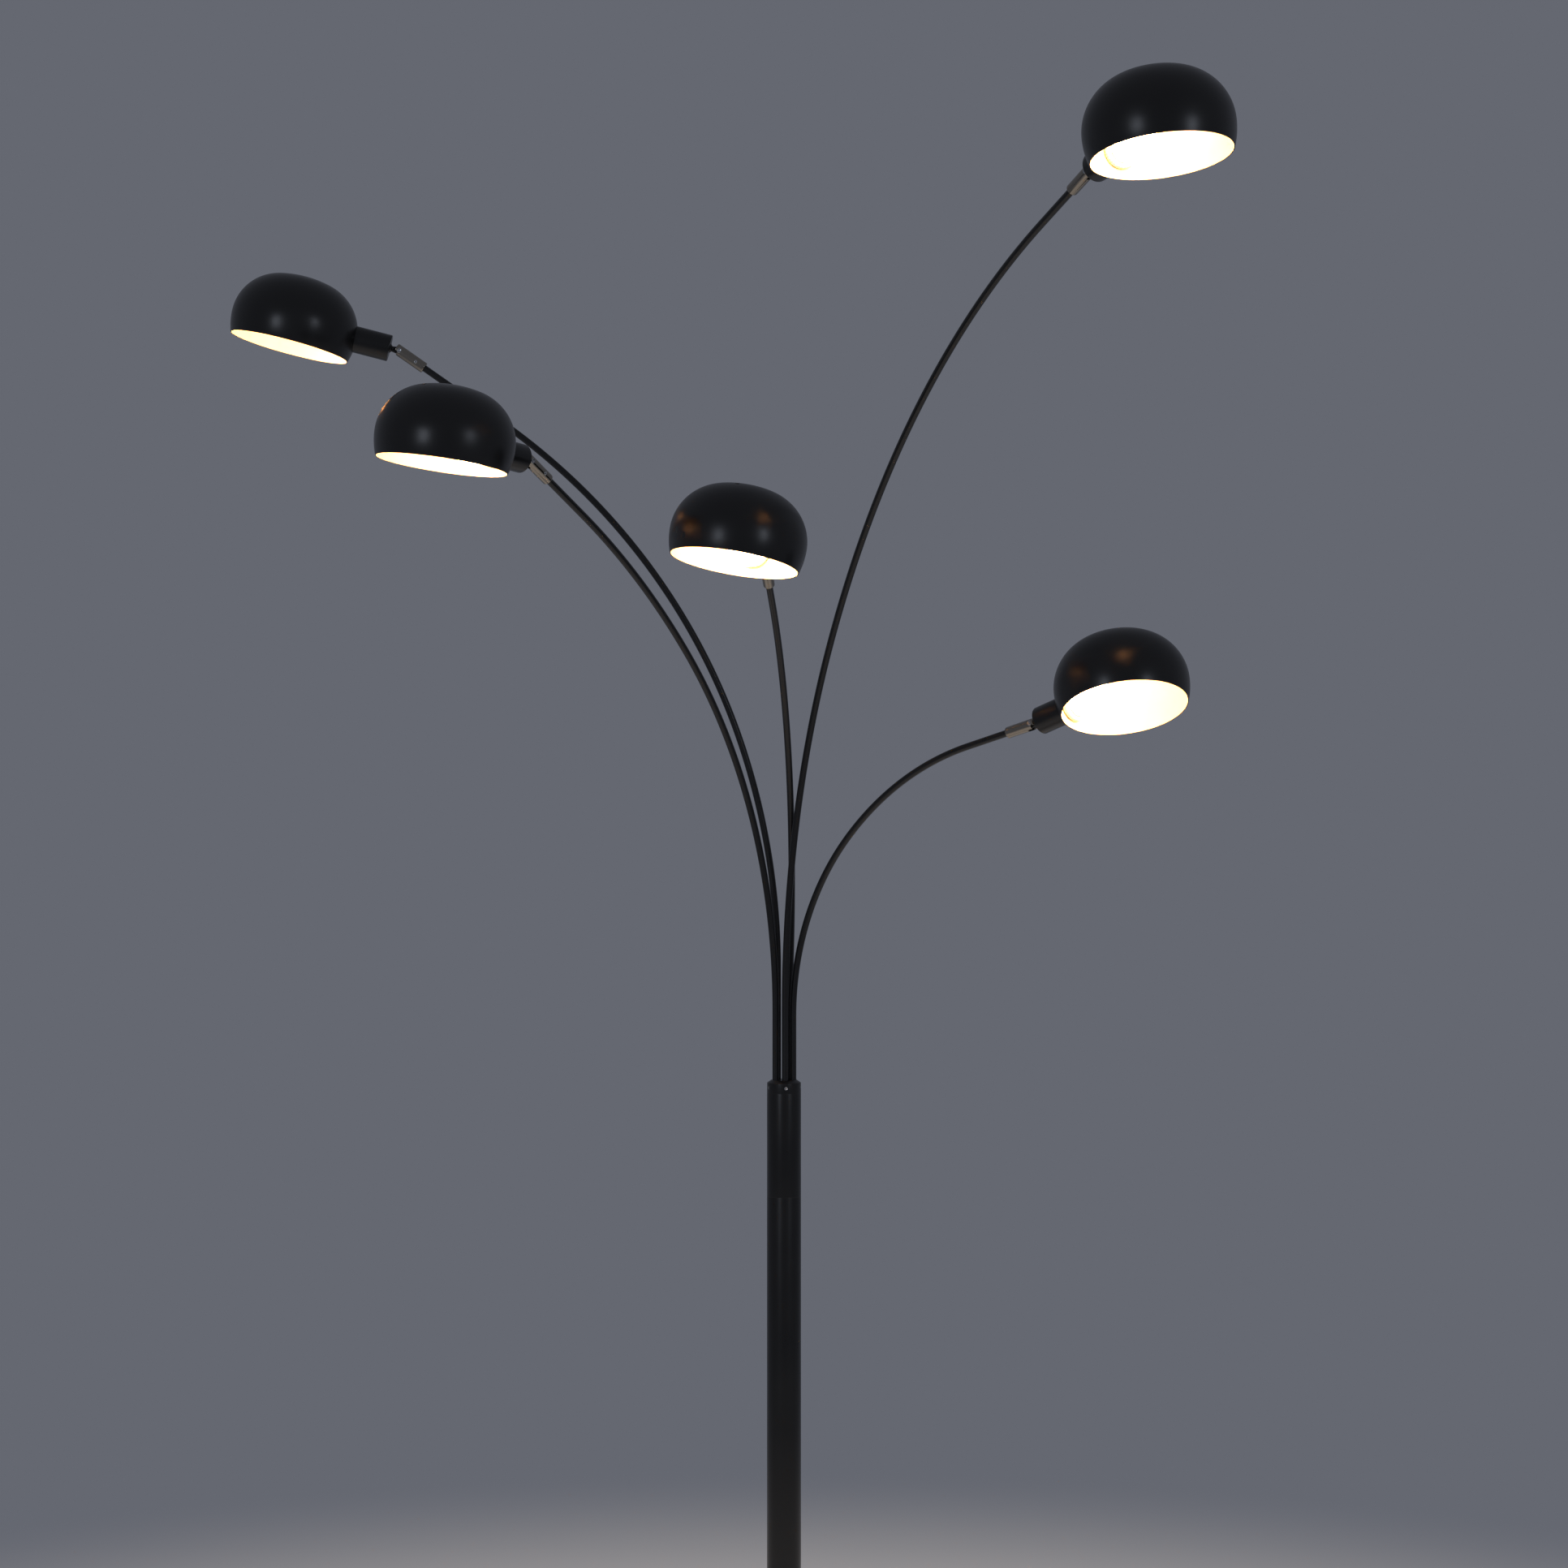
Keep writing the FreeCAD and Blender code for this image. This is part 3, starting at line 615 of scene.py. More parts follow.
grub_mesh = socket_screw("grub", GRUB_INNER, GRUB_OUTER, GRUB_RADIUS, HEX_RADIUS, HEX_DEPTH)
print("grub screw:", len(grub_mesh.polygons), "faces")

# %% [markdown]
# ## The ring of screws
#
# The five screws are one shape repeated round the pole. A loop could place
# them, but a node tree that copies any shape round an axis serves again for the
# ribs of the clamping rings: a point for each copy, turned by its share of the
# circle. Every tree here starts and ends alike, so two helpers open and close it.

# %% Geometry Nodes: the screws round the cap


def new_tree(name, inputs):
    """A Geometry Nodes tree with its number inputs. Returns it, its input node and their identifiers."""
    tree = bpy.data.node_groups.new(name, "GeometryNodeTree")
    tree.interface.new_socket("Geometry", in_out="INPUT", socket_type="NodeSocketGeometry")
    sockets = {}
    for title, kind in inputs.items():
        socket = tree.interface.new_socket(title, in_out="INPUT", socket_type="NodeSocket" + kind)
        sockets[title] = socket.identifier
    tree.interface.new_socket("Geometry", in_out="OUTPUT", socket_type="NodeSocketGeometry")
    return tree, add_node(tree, "NodeGroupInput"), sockets


def finish_tree(tree, shape, finish):
    """Make the tree's copies real and give them their material."""
    real = add_node(tree, "GeometryNodeRealizeInstances", {"Geometry": shape.outputs[0]})
    painted = add_node(tree, "GeometryNodeSetMaterial", {"Geometry": real.outputs[0], "Material": finish})
    add_node(tree, "NodeGroupOutput", {"Geometry": painted.outputs[0]})


def ring_of_copies(name, source, finish):
    """A tree that copies an object round the Z axis."""
    tree, given, sockets = new_tree(name, {"Count": "Int", "First Angle": "Float", "Height": "Float"})
    points = add_node(tree, "GeometryNodePoints", {"Count": given.outputs["Count"]})
    number = add_node(tree, "GeometryNodeInputIndex")
    share = add_node(tree, "ShaderNodeMath", {
        0: number.outputs[0], 1: given.outputs["Count"]}, operation="DIVIDE")
    angle = add_node(tree, "ShaderNodeMath", {
        0: share.outputs[0], 1: 2.0 * math.pi, 2: given.outputs["First Angle"]}, operation="MULTIPLY_ADD")
    turn = add_node(tree, "ShaderNodeCombineXYZ", {"Z": angle.outputs[0]})
    shape = add_node(tree, "GeometryNodeObjectInfo", {"Object": source}, transform_space="ORIGINAL")
    copies = add_node(tree, "GeometryNodeInstanceOnPoints", {
        "Points": points.outputs[0], "Instance": shape.outputs["Geometry"], "Rotation": turn.outputs[0]})
    lift = add_node(tree, "ShaderNodeCombineXYZ", {"Z": given.outputs["Height"]})
    raised = add_node(tree, "GeometryNodeTransform", {
        "Geometry": copies.outputs[0], "Translation": lift.outputs[0]})
    finish_tree(tree, raised, finish)
    return tree, sockets


def grown(tree, sockets, values, base=None):
    """The plain mesh that a tree makes from a base object and its input values."""
    holder = base or bpy.data.objects.new("holder", bpy.data.meshes.new("holder"))
    if base is None:
        bpy.context.scene.collection.objects.link(holder)
    modifier = holder.modifiers.new("grow", "NODES")
    modifier.node_group = tree
    for name, value in values.items():
        modifier[sockets[name]] = value
    mesh = evaluated(holder)
    bpy.data.objects.remove(holder)
    return mesh


def ring_mesh(name, source_mesh, finish, count, first_angle, height):
    source = bpy.data.objects.new(name + "_one", source_mesh)
    bpy.context.scene.collection.objects.link(source)
    tree, sockets = ring_of_copies(name, source, finish)
    mesh = grown(tree, sockets, {"Count": count, "First Angle": first_angle, "Height": height})
    bpy.data.objects.remove(source)
    return mesh


first_root = roots["d"]
screws = ring_mesh("cap_screw_ring", grub_mesh, SCREW_STEEL, len(ARM_NAMES),
                   math.atan2(first_root.y, first_root.x), cap_top - GRUB_BELOW_TOP * MM)
add_piece("cap_grub_screws", screws, Matrix.Identity(4), "stand", ["cap_screws"])
print("five screws:", len(screws.polygons), "faces")

# %% [markdown]
# ## The bent tubes
#
# Each arm is one 8 mm steel tube, bent twice on large rollers, so its line is
# made of straight runs and true arcs. A smooth curve through a few points would
# wander off them, so the points are worked out arc by arc. The sizes below are
# the bender's own settings: the direction of the bend, the straight run above
# the cap, then radius and angle of the low and the high bend, and the straight
# end.

# %% The bender's settings
TUBE_RADIUS = 4.0
ROOT_DEPTH = 25.0
TIP_IN_SLEEVE = 18.0
ARC_STEPS = 40
BENDS = {
    "a": dict(azimuth=185.0, upright=136.0, low=(862.0, 18.5), high=(776.0, 36.8), tip=110.0),
    "b": dict(azimuth=232.7, upright=84.0, low=(627.0, 43.6), high=(880.0, 15.5), tip=68.0),
    "c": dict(azimuth=260.0, upright=41.4, low=(1800.0, 2.3), high=(580.0, 51.7), tip=33.0, lean=350.0),
    "d": dict(azimuth=318.6, upright=78.0, low=(318.0, 42.6), high=(382.0, 32.8), tip=62.0),
    "e": dict(azimuth=296.2, upright=88.0, low=(857.0, 30.3), high=(1011.0, 37.4), tip=65.0),
}


def level(degrees):
    turn = math.radians(degrees)
    return Vector((math.cos(turn), math.sin(turn), 0.0))


def bend(points, direction, towards, radius, degrees):
    """Add an arc's points to the line and return the direction after it."""
    start = points[-1].copy()
    inward = (towards - direction * towards.dot(direction)).normalized()
    for step in range(1, ARC_STEPS + 1):
        angle = math.radians(degrees) * step / ARC_STEPS
        points.append(start + radius * MM * (direction * math.sin(angle) + inward * (1.0 - math.cos(angle))))
    angle = math.radians(degrees)
    return direction * math.cos(angle) + inward * math.sin(angle)


def tube_line(arm):
    """The points of an arm's centre line, from inside the cap to inside the sleeve."""
    bends = BENDS[arm]
    up = Vector((0.0, 0.0, 1.0))
    root = roots[arm]
    points = [root - up * ROOT_DEPTH * MM, root + up * bends["upright"] * MM]
    lean = level(bends.get("lean", bends["azimuth"]))
    direction = bend(points, up, lean, *bends["low"])
    direction = bend(points, direction, level(bends["azimuth"]), *bends["high"])
    tip = points[-1] + direction * bends["tip"] * MM
    points.append(tip + direction * TIP_IN_SLEEVE * MM)
    return points, tip


for arm in ARM_NAMES:
    miss = (tube_line(arm)[1] - place("sleeve_turn_" + arm)).length
    print("tube", arm, "ends", round(miss / MM, 2), "mm from its sleeve's joint")

# %% [markdown]
# ## Sweeping the tubes
#
# A curve object holds each line, and Geometry Nodes sweep a circle along it,
# which keeps the section exactly round through both bends. A bevelled curve
# would look the same. The tree is used because its radius and its number of
# sides are named inputs, and it closes the ends and sets the paint as well.

# %% Geometry Nodes: a round section swept along a line


def sweep_tree(name, finish):
    """A tree that sweeps a circle along a curve."""
    tree, given, sockets = new_tree(name, {"Radius": "Float", "Sides": "Int"})
    circle = add_node(tree, "GeometryNodeCurvePrimitiveCircle", {
        "Resolution": given.outputs["Sides"], "Radius": given.outputs["Radius"]})
    swept = add_node(tree, "GeometryNodeCurveToMesh", {
        "Curve": given.outputs["Geometry"], "Profile Curve": circle.outputs["Curve"], "Fill Caps": True})
    finish_tree(tree, swept, finish)
    return tree, sockets


def line_object(name, points):
    """A curve object of one straight-run spline through the points."""
    curve = bpy.data.curves.new(name, "CURVE")
    curve.dimensions = "3D"
    spline = curve.splines.new("POLY")
    spline.points.add(len(points) - 1)
    for point, spot in zip(spline.points, points):
        point.co = (*spot, 1.0)
    holder = bpy.data.objects.new(name, curve)
    bpy.context.scene.collection.objects.link(holder)
    return holder


tube_tree, tube_sockets = sweep_tree("bent_tube", BLACK)
for arm in ARM_NAMES:
    line = line_object("tube_line_" + arm, tube_line(arm)[0])
    mesh = grown(tube_tree, tube_sockets, {"Radius": TUBE_RADIUS * MM, "Sides": 32}, base=line)
    add_piece("bent_tube_" + arm, mesh, Matrix.Identity(4), "arm_" + arm, ["arm_tube_" + arm])
    print("tube", arm, len(mesh.polygons), "faces")

# %% [markdown]
# ## The swivel sleeves
#
# A sleeve sits on each tube's end. It is turned from bar, bored for the tube,
# and slotted at the far end for the tongue that carries the shade. The slot's
# lower corner is milled away so that the shade can nod further down.

# %% Sleeves and their screws
SLEEVE_RADIUS = 6.5
SLEEVE_TAIL = -36.0
SLEEVE_NOSE = 5.0
SOCKET_END = -16.0
WIRE_HOLE = 2.5
SLOT_HALF = 2.1
SLOT_FLOOR = -5.6
LIP_START = 1.0
LIP_TOP = -2.6
TILT_SCREW_RADIUS = 1.5
SCREW_HEAD_RADIUS = 2.5
SCREW_HEAD_SEAT = 4.9
SCREW_HEAD_TOP = 5.9
SLEEVE_GRUB_PLACE = -23.7
SLEEVE_GRUB_RADIUS = 1.5
SLEEVE_GRUB_SUNK = 0.3
SLEEVE_HEX_RADIUS = 0.77
SLEEVE_HEX_DEPTH = 1.0
SCREW_GAP = 0.05


def sleeve_mesh():
    outline = rounded([
        (SLEEVE_TAIL, BORE_RADIUS, 0.3), (SLEEVE_TAIL, SLEEVE_RADIUS, 0.8),
        (SLEEVE_NOSE, SLEEVE_RADIUS, 0.7), (SLEEVE_NOSE, WIRE_HOLE, 0.0),
        (SOCKET_END, WIRE_HOLE, 0.0), (SOCKET_END, BORE_RADIUS, 0.0)])
    blank = turned("sleeve", outline, [NICKEL], steps=96)
    reach = SLEEVE_RADIUS + 3.0
    cutters = [
        block(SLOT_FLOOR, SLEEVE_NOSE + 3.0, -SLOT_HALF, SLOT_HALF, -reach, reach),
        block(LIP_START, SLEEVE_NOSE + 3.0, -reach, reach, -reach, LIP_TOP),
        cross_rod(-reach, reach, TILT_SCREW_RADIUS + SCREW_GAP),
        cross_rod(SCREW_HEAD_SEAT, reach, SCREW_HEAD_RADIUS + SCREW_GAP),
        cross_rod(-reach, -SCREW_HEAD_SEAT, SCREW_HEAD_RADIUS + SCREW_GAP),
        cross_rod(TUBE_RADIUS, reach, SLEEVE_GRUB_RADIUS + SCREW_GAP, SLEEVE_GRUB_PLACE)]
    return carved(blank, cutters)


def tilt_screw_mesh():
    """A shank with a flat head at each end, one of them slotted."""
    outline = rounded([
        (-SCREW_HEAD_TOP, 0.0, 0.0), (-SCREW_HEAD_TOP, SCREW_HEAD_RADIUS, 0.25),
        (-SCREW_HEAD_SEAT, SCREW_HEAD_RADIUS, 0.0), (-SCREW_HEAD_SEAT, TILT_SCREW_RADIUS, 0.0),
        (SCREW_HEAD_SEAT, TILT_SCREW_RADIUS, 0.0), (SCREW_HEAD_SEAT, SCREW_HEAD_RADIUS, 0.0),
        (SCREW_HEAD_TOP, SCREW_HEAD_RADIUS, 0.25), (SCREW_HEAD_TOP, 0.0, 0.0)])
    blank = turned("tilt_screw", outline, [SCREW_STEEL], steps=48)
    slot = block(SCREW_HEAD_TOP - 0.4, SCREW_HEAD_TOP + 1.0, -0.35, 0.35, -3.0, 3.0)
    return carved(blank, [slot])


def joined(meshes, name):
    """Several meshes as one."""
    shape = bmesh.new()
    for mesh in meshes:
        shape.from_mesh(mesh)
    result = bpy.data.meshes.new(name)
    shape.to_mesh(result)
    shape.free()
    for finish in meshes[0].materials:
        result.materials.append(finish)
    return result


def sleeve_screws_mesh():
    screw = tilt_screw_mesh()
    across = Matrix.Rotation(math.radians(90.0), 4, "Z")
    screw.transform(across)
    grub = socket_screw("sleeve_grub", TUBE_RADIUS + SLEEVE_GRUB_SUNK, SLEEVE_RADIUS - SLEEVE_GRUB_SUNK,
                        SLEEVE_GRUB_RADIUS, SLEEVE_HEX_RADIUS, SLEEVE_HEX_DEPTH)
    grub.transform(Matrix.Translation((SLEEVE_GRUB_PLACE * MM, 0, 0)) @ across)
    return joined([screw, grub], "sleeve_screws")


sleeve_blank = sleeve_mesh()
screws_blank = sleeve_screws_mesh()
for arm in ARM_NAMES:
    here = sleeve_frame(arm)
    add_piece("sleeve_" + arm, sleeve_blank.copy(), here, "swivel_" + arm,
              ["swivel_sleeve_" + arm])
    add_piece("sleeve_screws_" + arm, screws_blank.copy(), here, "swivel_" + arm,
              ["swivel_screws_" + arm])
print("sleeve:", len(sleeve_blank.polygons), "faces")

# %% [markdown]
# ## The dome's outline
#
# A shade is spun from sheet steel: a flattened ball that is open below. Its
# section is three arcs that run into each other, a slack one from the rim up to
# the widest ring, a tighter one round the shoulder and a broad one over the
# crown. The same outline, moved in by the sheet's thickness, is the inside.

# %% Arcs of the dome
SHADE_AXIS = 129.0
SHADE_RADIUS = 76.0
SHADE_WALL = 1.0
RIM_Z = -29.0
EQUATOR_Z = -2.0
CROWN_HEIGHT = 59.5
SHOULDER_ARC = 57.0
RIM_DRAW_IN = 4.5

rim_height = EQUATOR_Z - RIM_Z
crown_arc = (SHADE_RADIUS ** 2 + CROWN_HEIGHT ** 2 - 2.0 * SHADE_RADIUS * SHOULDER_ARC) / (
    2.0 * (CROWN_HEIGHT - SHOULDER_ARC))
lower_arc = (rim_height ** 2 + RIM_DRAW_IN ** 2) / (2.0 * RIM_DRAW_IN)
meeting = math.atan2(crown_arc - CROWN_HEIGHT, SHADE_RADIUS - SHOULDER_ARC)


def arc_points(centre, radius, start, end, steps):
    """Points (height, distance from the axis) on an arc round a centre."""
    points = []
    for step in range(steps + 1):
        angle = start + (end - start) * step / steps
        points.append((centre[1] + radius * math.sin(angle), centre[0] + radius * math.cos(angle)))
    return points


def dome_line(inset):
    """From the rim up to the crown, moved in by the inset."""
    low = lower_arc - inset
    lower = arc_points((SHADE_RADIUS - lower_arc, EQUATOR_Z), low, -math.asin(rim_height / low), 0.0, 12)
    side = arc_points((SHADE_RADIUS - SHOULDER_ARC, EQUATOR_Z), SHOULDER_ARC - inset, 0.0, meeting, 26)
    crown_centre = (0.0, EQUATOR_Z + CROWN_HEIGHT - crown_arc)
    top = arc_points(crown_centre, crown_arc - inset, meeting, math.pi / 2.0, 16)
    line = lower + side[1:] + top[1:]
    line[-1] = (line[-1][0], 0.0)
    return line


def dome_distance(height):
    """The outer skin's distance from the axis at a height."""
    if height < EQUATOR_Z:
        return SHADE_RADIUS - lower_arc + math.sqrt(lower_arc ** 2 - (height - EQUATOR_Z) ** 2)
    side = SHOULDER_ARC ** 2 - (height - EQUATOR_Z) ** 2
    return SHADE_RADIUS - SHOULDER_ARC + math.sqrt(max(side, 0.0))


print("crown arc", round(crown_arc, 1), "mm, lower arc", round(lower_arc, 1), "mm")

# %% [markdown]
# ## Shades
#
# The shell has two finishes, so the outline says which stretch is which: black
# outside and round the lip, white inside. A hole in the side takes the
# lampholder, and a small vent near the crown lets the heat out. Light shows in
# the vent as a bright speck when it is seen edge on.

# %% The spun shell
HOLDER_HOLE = 14.1
VENT_OUT = 41.0
VENT_RADIUS = 2.5


def shade_mesh():
    outer = dome_line(0.0)
    inner = list(reversed(dome_line(SHADE_WALL)))
    outline = outer + inner
    white_from = len(outer)
    white_to = len(outline) - 1
    mesh = turned("shade", outline, [BLACK, WHITE], lambda index: int(white_from <= index < white_to),
                  steps=160)
    mesh.transform(Matrix.Translation((SHADE_AXIS * MM, 0.0, 0.0)) @ UPRIGHT)
    vent = rod(0.0, 80.0, VENT_RADIUS)
    vent.transform(Matrix.Translation(((SHADE_AXIS + VENT_OUT) * MM, 0.0, 0.0)) @ UPRIGHT)
    return carved(mesh, [rod(40.0, 80.0, HOLDER_HOLE), vent])


shade_blank = shade_mesh()
for arm in ARM_NAMES:
    add_piece("shade_shell_" + arm, shade_blank.copy(), head_frame(arm), "head_" + arm,
              ["shade_" + arm])
print("shade:", len(shade_blank.polygons), "faces")

# %% [markdown]
# ## Cups
#
# The cup hides the lampholder. Its open end is cut to the curve of the dome. A
# Boolean would leave a ragged edge there, so the last two rings of its outline
# are moved along the axis instead, each point until it meets the skin.

# %% Cups
CUP_START = 12.0
CUP_RADIUS = 16.0
CUP_WALL = 1.0
CUP_FLOOR = 1.5
CUP_LIMIT = 40.0
STUD_RADIUS = 4.0


def cup_mesh():
    outline = rounded([
        (CUP_START, STUD_RADIUS + 0.05, 0.0), (CUP_START, CUP_RADIUS, 1.0),
        (CUP_LIMIT, CUP_RADIUS, 0.0), (CUP_LIMIT, CUP_RADIUS - CUP_WALL, 0.0),
        (CUP_START + CUP_FLOOR, CUP_RADIUS - CUP_WALL, 0.6),
        (CUP_START + CUP_FLOOR, STUD_RADIUS + 0.05, 0.0)])
    mesh = turned("cup", outline, [BLACK], steps=96)
    for vertex in mesh.vertices:
        if vertex.co.x / MM > CUP_LIMIT - 0.01:
            side, height = vertex.co.y / MM, vertex.co.z / MM
            away = math.sqrt(dome_distance(height) ** 2 - side ** 2)
            vertex.co.x = (SHADE_AXIS - away - 0.02) * MM
    return mesh


cup_blank = cup_mesh()
for arm in ARM_NAMES:
    add_piece("socket_cup_" + arm, cup_blank.copy(), head_frame(arm), "head_" + arm,
              ["cup_" + arm])
print("cup:", len(cup_blank.polygons), "faces")

# %% [markdown]
# ## Necks
#
# A neck is one small steel part: a flat tongue with an eye for the tilt screw,
# a cone and a stud. Its solid has all of that already, so it isn't modelled
# again. A copy is welded, because a solid comes as loose triangles, and gets
# smooth shading and a map of its own.

# %% Copies of the plain solids
WELD = 0.001 * MM


def smooth_copy(node, finish):
    """A CAD solid's mesh, welded and smoothed, with a turned map along Z."""
    shape = bmesh.new()
    shape.from_mesh(frame["nodes"][node].data)
    bmesh.ops.remove_doubles(shape, verts=shape.verts, dist=WELD)
    layer = shape.loops.layers.uv.new(MAP_NAME)
    for face in shape.faces:
        face.material_index = 0
        for loop in face.loops:
            turn = math.atan2(loop.vert.co.y, loop.vert.co.x) / (2.0 * math.pi)
            loop[layer].uv = (turn, loop.vert.co.z)
    mesh = bpy.data.meshes.new(node)
    shape.to_mesh(mesh)
    shape.free()
    mesh.materials.append(finish)
    return mesh


for arm in ARM_NAMES:
    add_piece("tongue_neck_" + arm, smooth_copy("neck_" + arm, BLACK), Matrix.Identity(4), "head_" + arm,
              ["neck_" + arm])
print("necks follow their solids")

# %% [markdown]
# ## Threads
#
# The lampholder's skirt and the bulb's cap both have a rolled thread, whose
# crests are round. Geometry Nodes wind it: a spiral of constant radius, swept
# with a small circle, most of which lies inside the turned body.

# %% Geometry Nodes: a thread


HOLDER_THREAD = 11.6
HOLDER_PITCH = 2.3
HOLDER_RIDGE = 0.42
BULB_THREAD = 15.0
BULB_PITCH = 2.8
BULB_RIDGE = 0.4


def thread_tree(finish):
    """A tree that winds a round ridge into a thread."""
    tree, given, sockets = new_tree("thread", {
        "Radius": "Float", "Length": "Float", "Turns": "Float", "Ridge": "Float"})
    winding = add_node(tree, "GeometryNodeCurveSpiral", {
        "Resolution": 36, "Rotations": given.outputs["Turns"], "Start Radius": given.outputs["Radius"],
        "End Radius": given.outputs["Radius"], "Height": given.outputs["Length"]})
    ridge = add_node(tree, "GeometryNodeCurvePrimitiveCircle", {
        "Resolution": 8, "Radius": given.outputs["Ridge"]})
    swept = add_node(tree, "GeometryNodeCurveToMesh", {
        "Curve": winding.outputs[0], "Profile Curve": ridge.outputs["Curve"], "Fill Caps": True})
    finish_tree(tree, swept, finish)
    return tree, sockets


def thread_mesh(finish, start, length, radius, pitch, ridge):
    """A thread about local X, in millimetres."""
    tree, sockets = thread_tree(finish)
    mesh = grown(tree, sockets, {
        "Radius": radius * MM, "Length": length * MM, "Turns": length / pitch, "Ridge": ridge * MM})
    mesh.transform(Matrix.Translation((start * MM, 0, 0)) @ Matrix.Rotation(math.radians(90.0), 4, "Y"))
    return mesh


print("turns of thread:", round(HOLDER_THREAD / HOLDER_PITCH, 1), "on the holder,",
      round(BULB_THREAD / BULB_PITCH, 1), "on the bulb")

# %% [markdown]
# ## Lampholders and their rings
#
# Inside the cup is a small screw lampholder of white plastic. Its skirt comes
# through the shade's side, and a ribbed ring on its thread clamps the shade.
# Both are turned from an outline. The ribs that the fingers grip are one small
# shape, copied round the ring by the tree that set the cap's screws.

# %% Lampholders
HOLDER_START = 14.0
HOLDER_RADIUS = 12.0
SKIRT_START = 44.0
SKIRT_RADIUS = 14.0
HOLDER_END = 65.0
SOCKET_RADIUS = 8.0
SOCKET_FLOOR = 30.0
MOUTH_DEPTH = 8.0
STUD_IN_HOLDER = 8.5


def holder_mesh():
    skirt = SKIRT_RADIUS - 0.45
    outline = rounded([
        (HOLDER_START, STUD_RADIUS + 0.1, 0.0), (HOLDER_START, HOLDER_RADIUS, 1.2),
        (SKIRT_START, HOLDER_RADIUS, 0.0), (SKIRT_START, SKIRT_RADIUS, 0.5),
        (SKIRT_START + 6.0, SKIRT_RADIUS, 0.0), (SKIRT_START + 6.6, skirt, 0.0),
        (HOLDER_END, skirt, 0.6), (HOLDER_END, SKIRT_RADIUS - 1.5, 0.3),
        (HOLDER_END - MOUTH_DEPTH, SOCKET_RADIUS, 0.0), (SOCKET_FLOOR, SOCKET_RADIUS, 0.0),
        (SOCKET_FLOOR, 0.0, 0.0), (HOLDER_START + STUD_IN_HOLDER, 0.0, 0.0),
        (HOLDER_START + STUD_IN_HOLDER, STUD_RADIUS + 0.1, 0.0)])
    body = turned("holder", outline, [HOLDER_WHITE], steps=96)
    thread = thread_mesh(HOLDER_WHITE, SKIRT_START + 8.0, HOLDER_THREAD, skirt, HOLDER_PITCH, HOLDER_RIDGE)
    return joined([body, thread], "holder")


RING_START = 57.6
RING_THICK = 4.6
RING_RADIUS = 17.25
RIB_COUNT = 36


def ring_piece_mesh():
    """The clamping ring, with a step in its face and ribs round its edge."""
    edge = RING_RADIUS - 0.45
    outline = rounded([
        (RING_START, SKIRT_RADIUS + 0.05, 0.0), (RING_START, edge, 0.4),
        (RING_START + RING_THICK - 0.9, edge, 0.4), (RING_START + RING_THICK - 0.9, edge - 0.9, 0.2),
        (RING_START + RING_THICK, edge - 1.2, 0.3), (RING_START + RING_THICK, SKIRT_RADIUS + 0.05, 0.3)])
    ring = turned("ring", outline, [HOLDER_WHITE], steps=144)
    rib_outline = rounded([(0.4, 0.0, 0.0), (0.4, 0.5, 0.2), (3.3, 0.5, 0.2), (3.3, 0.0, 0.0)])
    rib = turned("rib", rib_outline, [HOLDER_WHITE], steps=8)
    rib.transform(Matrix.Translation((edge * MM, 0, 0)) @ UPRIGHT)
    ribs = ring_mesh("ring_ribs", rib, HOLDER_WHITE, RIB_COUNT, 0.0, RING_START * MM)
    ribs.transform(Matrix.Rotation(math.radians(90.0), 4, "Y"))
    return joined([ring, ribs], "ring")


holder_blank = holder_mesh()
ring_blank = ring_piece_mesh()
for arm in ARM_NAMES:
    here = head_frame(arm)
    add_piece("screw_lampholder_" + arm, holder_blank.copy(), here, "head_" + arm,
              ["lampholder_" + arm])
    add_piece("clamp_ring_" + arm, ring_blank.copy(), here, "head_" + arm,
              ["shade_ring_" + arm])
print("holder:", len(holder_blank.polygons), "faces, ring:", len(ring_blank.polygons), "faces")

# %% [markdown]
# ## Bulbs
#
# A small ball bulb, lit. The glass is opal, so it is one even bright shape. Its
# screw cap is rolled brass, plated, and mostly hidden in the holder.

# %% The bulb
CAP_START = 32.0
CAP_LENGTH = 25.0
CAP_RADIUS = 6.8
BALL_RADIUS = 22.5
BALL_CENTRE = 87.5
BALL_STEPS = 40
GLASS_START = 67.0
NECK_RADIUS = 9.0


def bulb_mesh():
    ball = []
    touch = math.acos((BALL_CENTRE - GLASS_START) / BALL_RADIUS)
    for step in range(BALL_STEPS + 1):
        angle = math.pi - touch - (math.pi - touch) * step / BALL_STEPS
        ball.append((BALL_CENTRE + BALL_RADIUS * math.cos(angle), BALL_RADIUS * math.sin(angle)))
    ball[-1] = (ball[-1][0], 0.0)
    cap_end = CAP_START + CAP_LENGTH
    base = rounded([(CAP_START, 0.0, 0.0), (CAP_START, 2.6, 0.3), (CAP_START + 2.0, 3.2, 0.0),
                    (CAP_START + 4.0, CAP_RADIUS - 0.5, 0.3), (cap_end, CAP_RADIUS - 0.5, 0.0)])
    outline = base + [(cap_end + 0.4, CAP_RADIUS), (cap_end + 4.0, NECK_RADIUS)] + ball
    metal_to = len(base)
    glass = turned("bulb", outline, [OPAL, SCREW_STEEL], lambda index: int(index < metal_to), steps=96)
    thread = thread_mesh(SCREW_STEEL, CAP_START + 6.0, BULB_THREAD, CAP_RADIUS - 0.5, BULB_PITCH, BULB_RIDGE)
    for face in thread.polygons:
        face.material_index = 1
    return joined([glass, thread], "bulb")


bulb_blank = bulb_mesh()
for arm in ARM_NAMES:
    add_piece("opal_bulb_" + arm, bulb_blank.copy(), head_frame(arm), "head_" + arm,
              ["bulb_" + arm])
print("bulb:", len(bulb_blank.polygons), "faces")

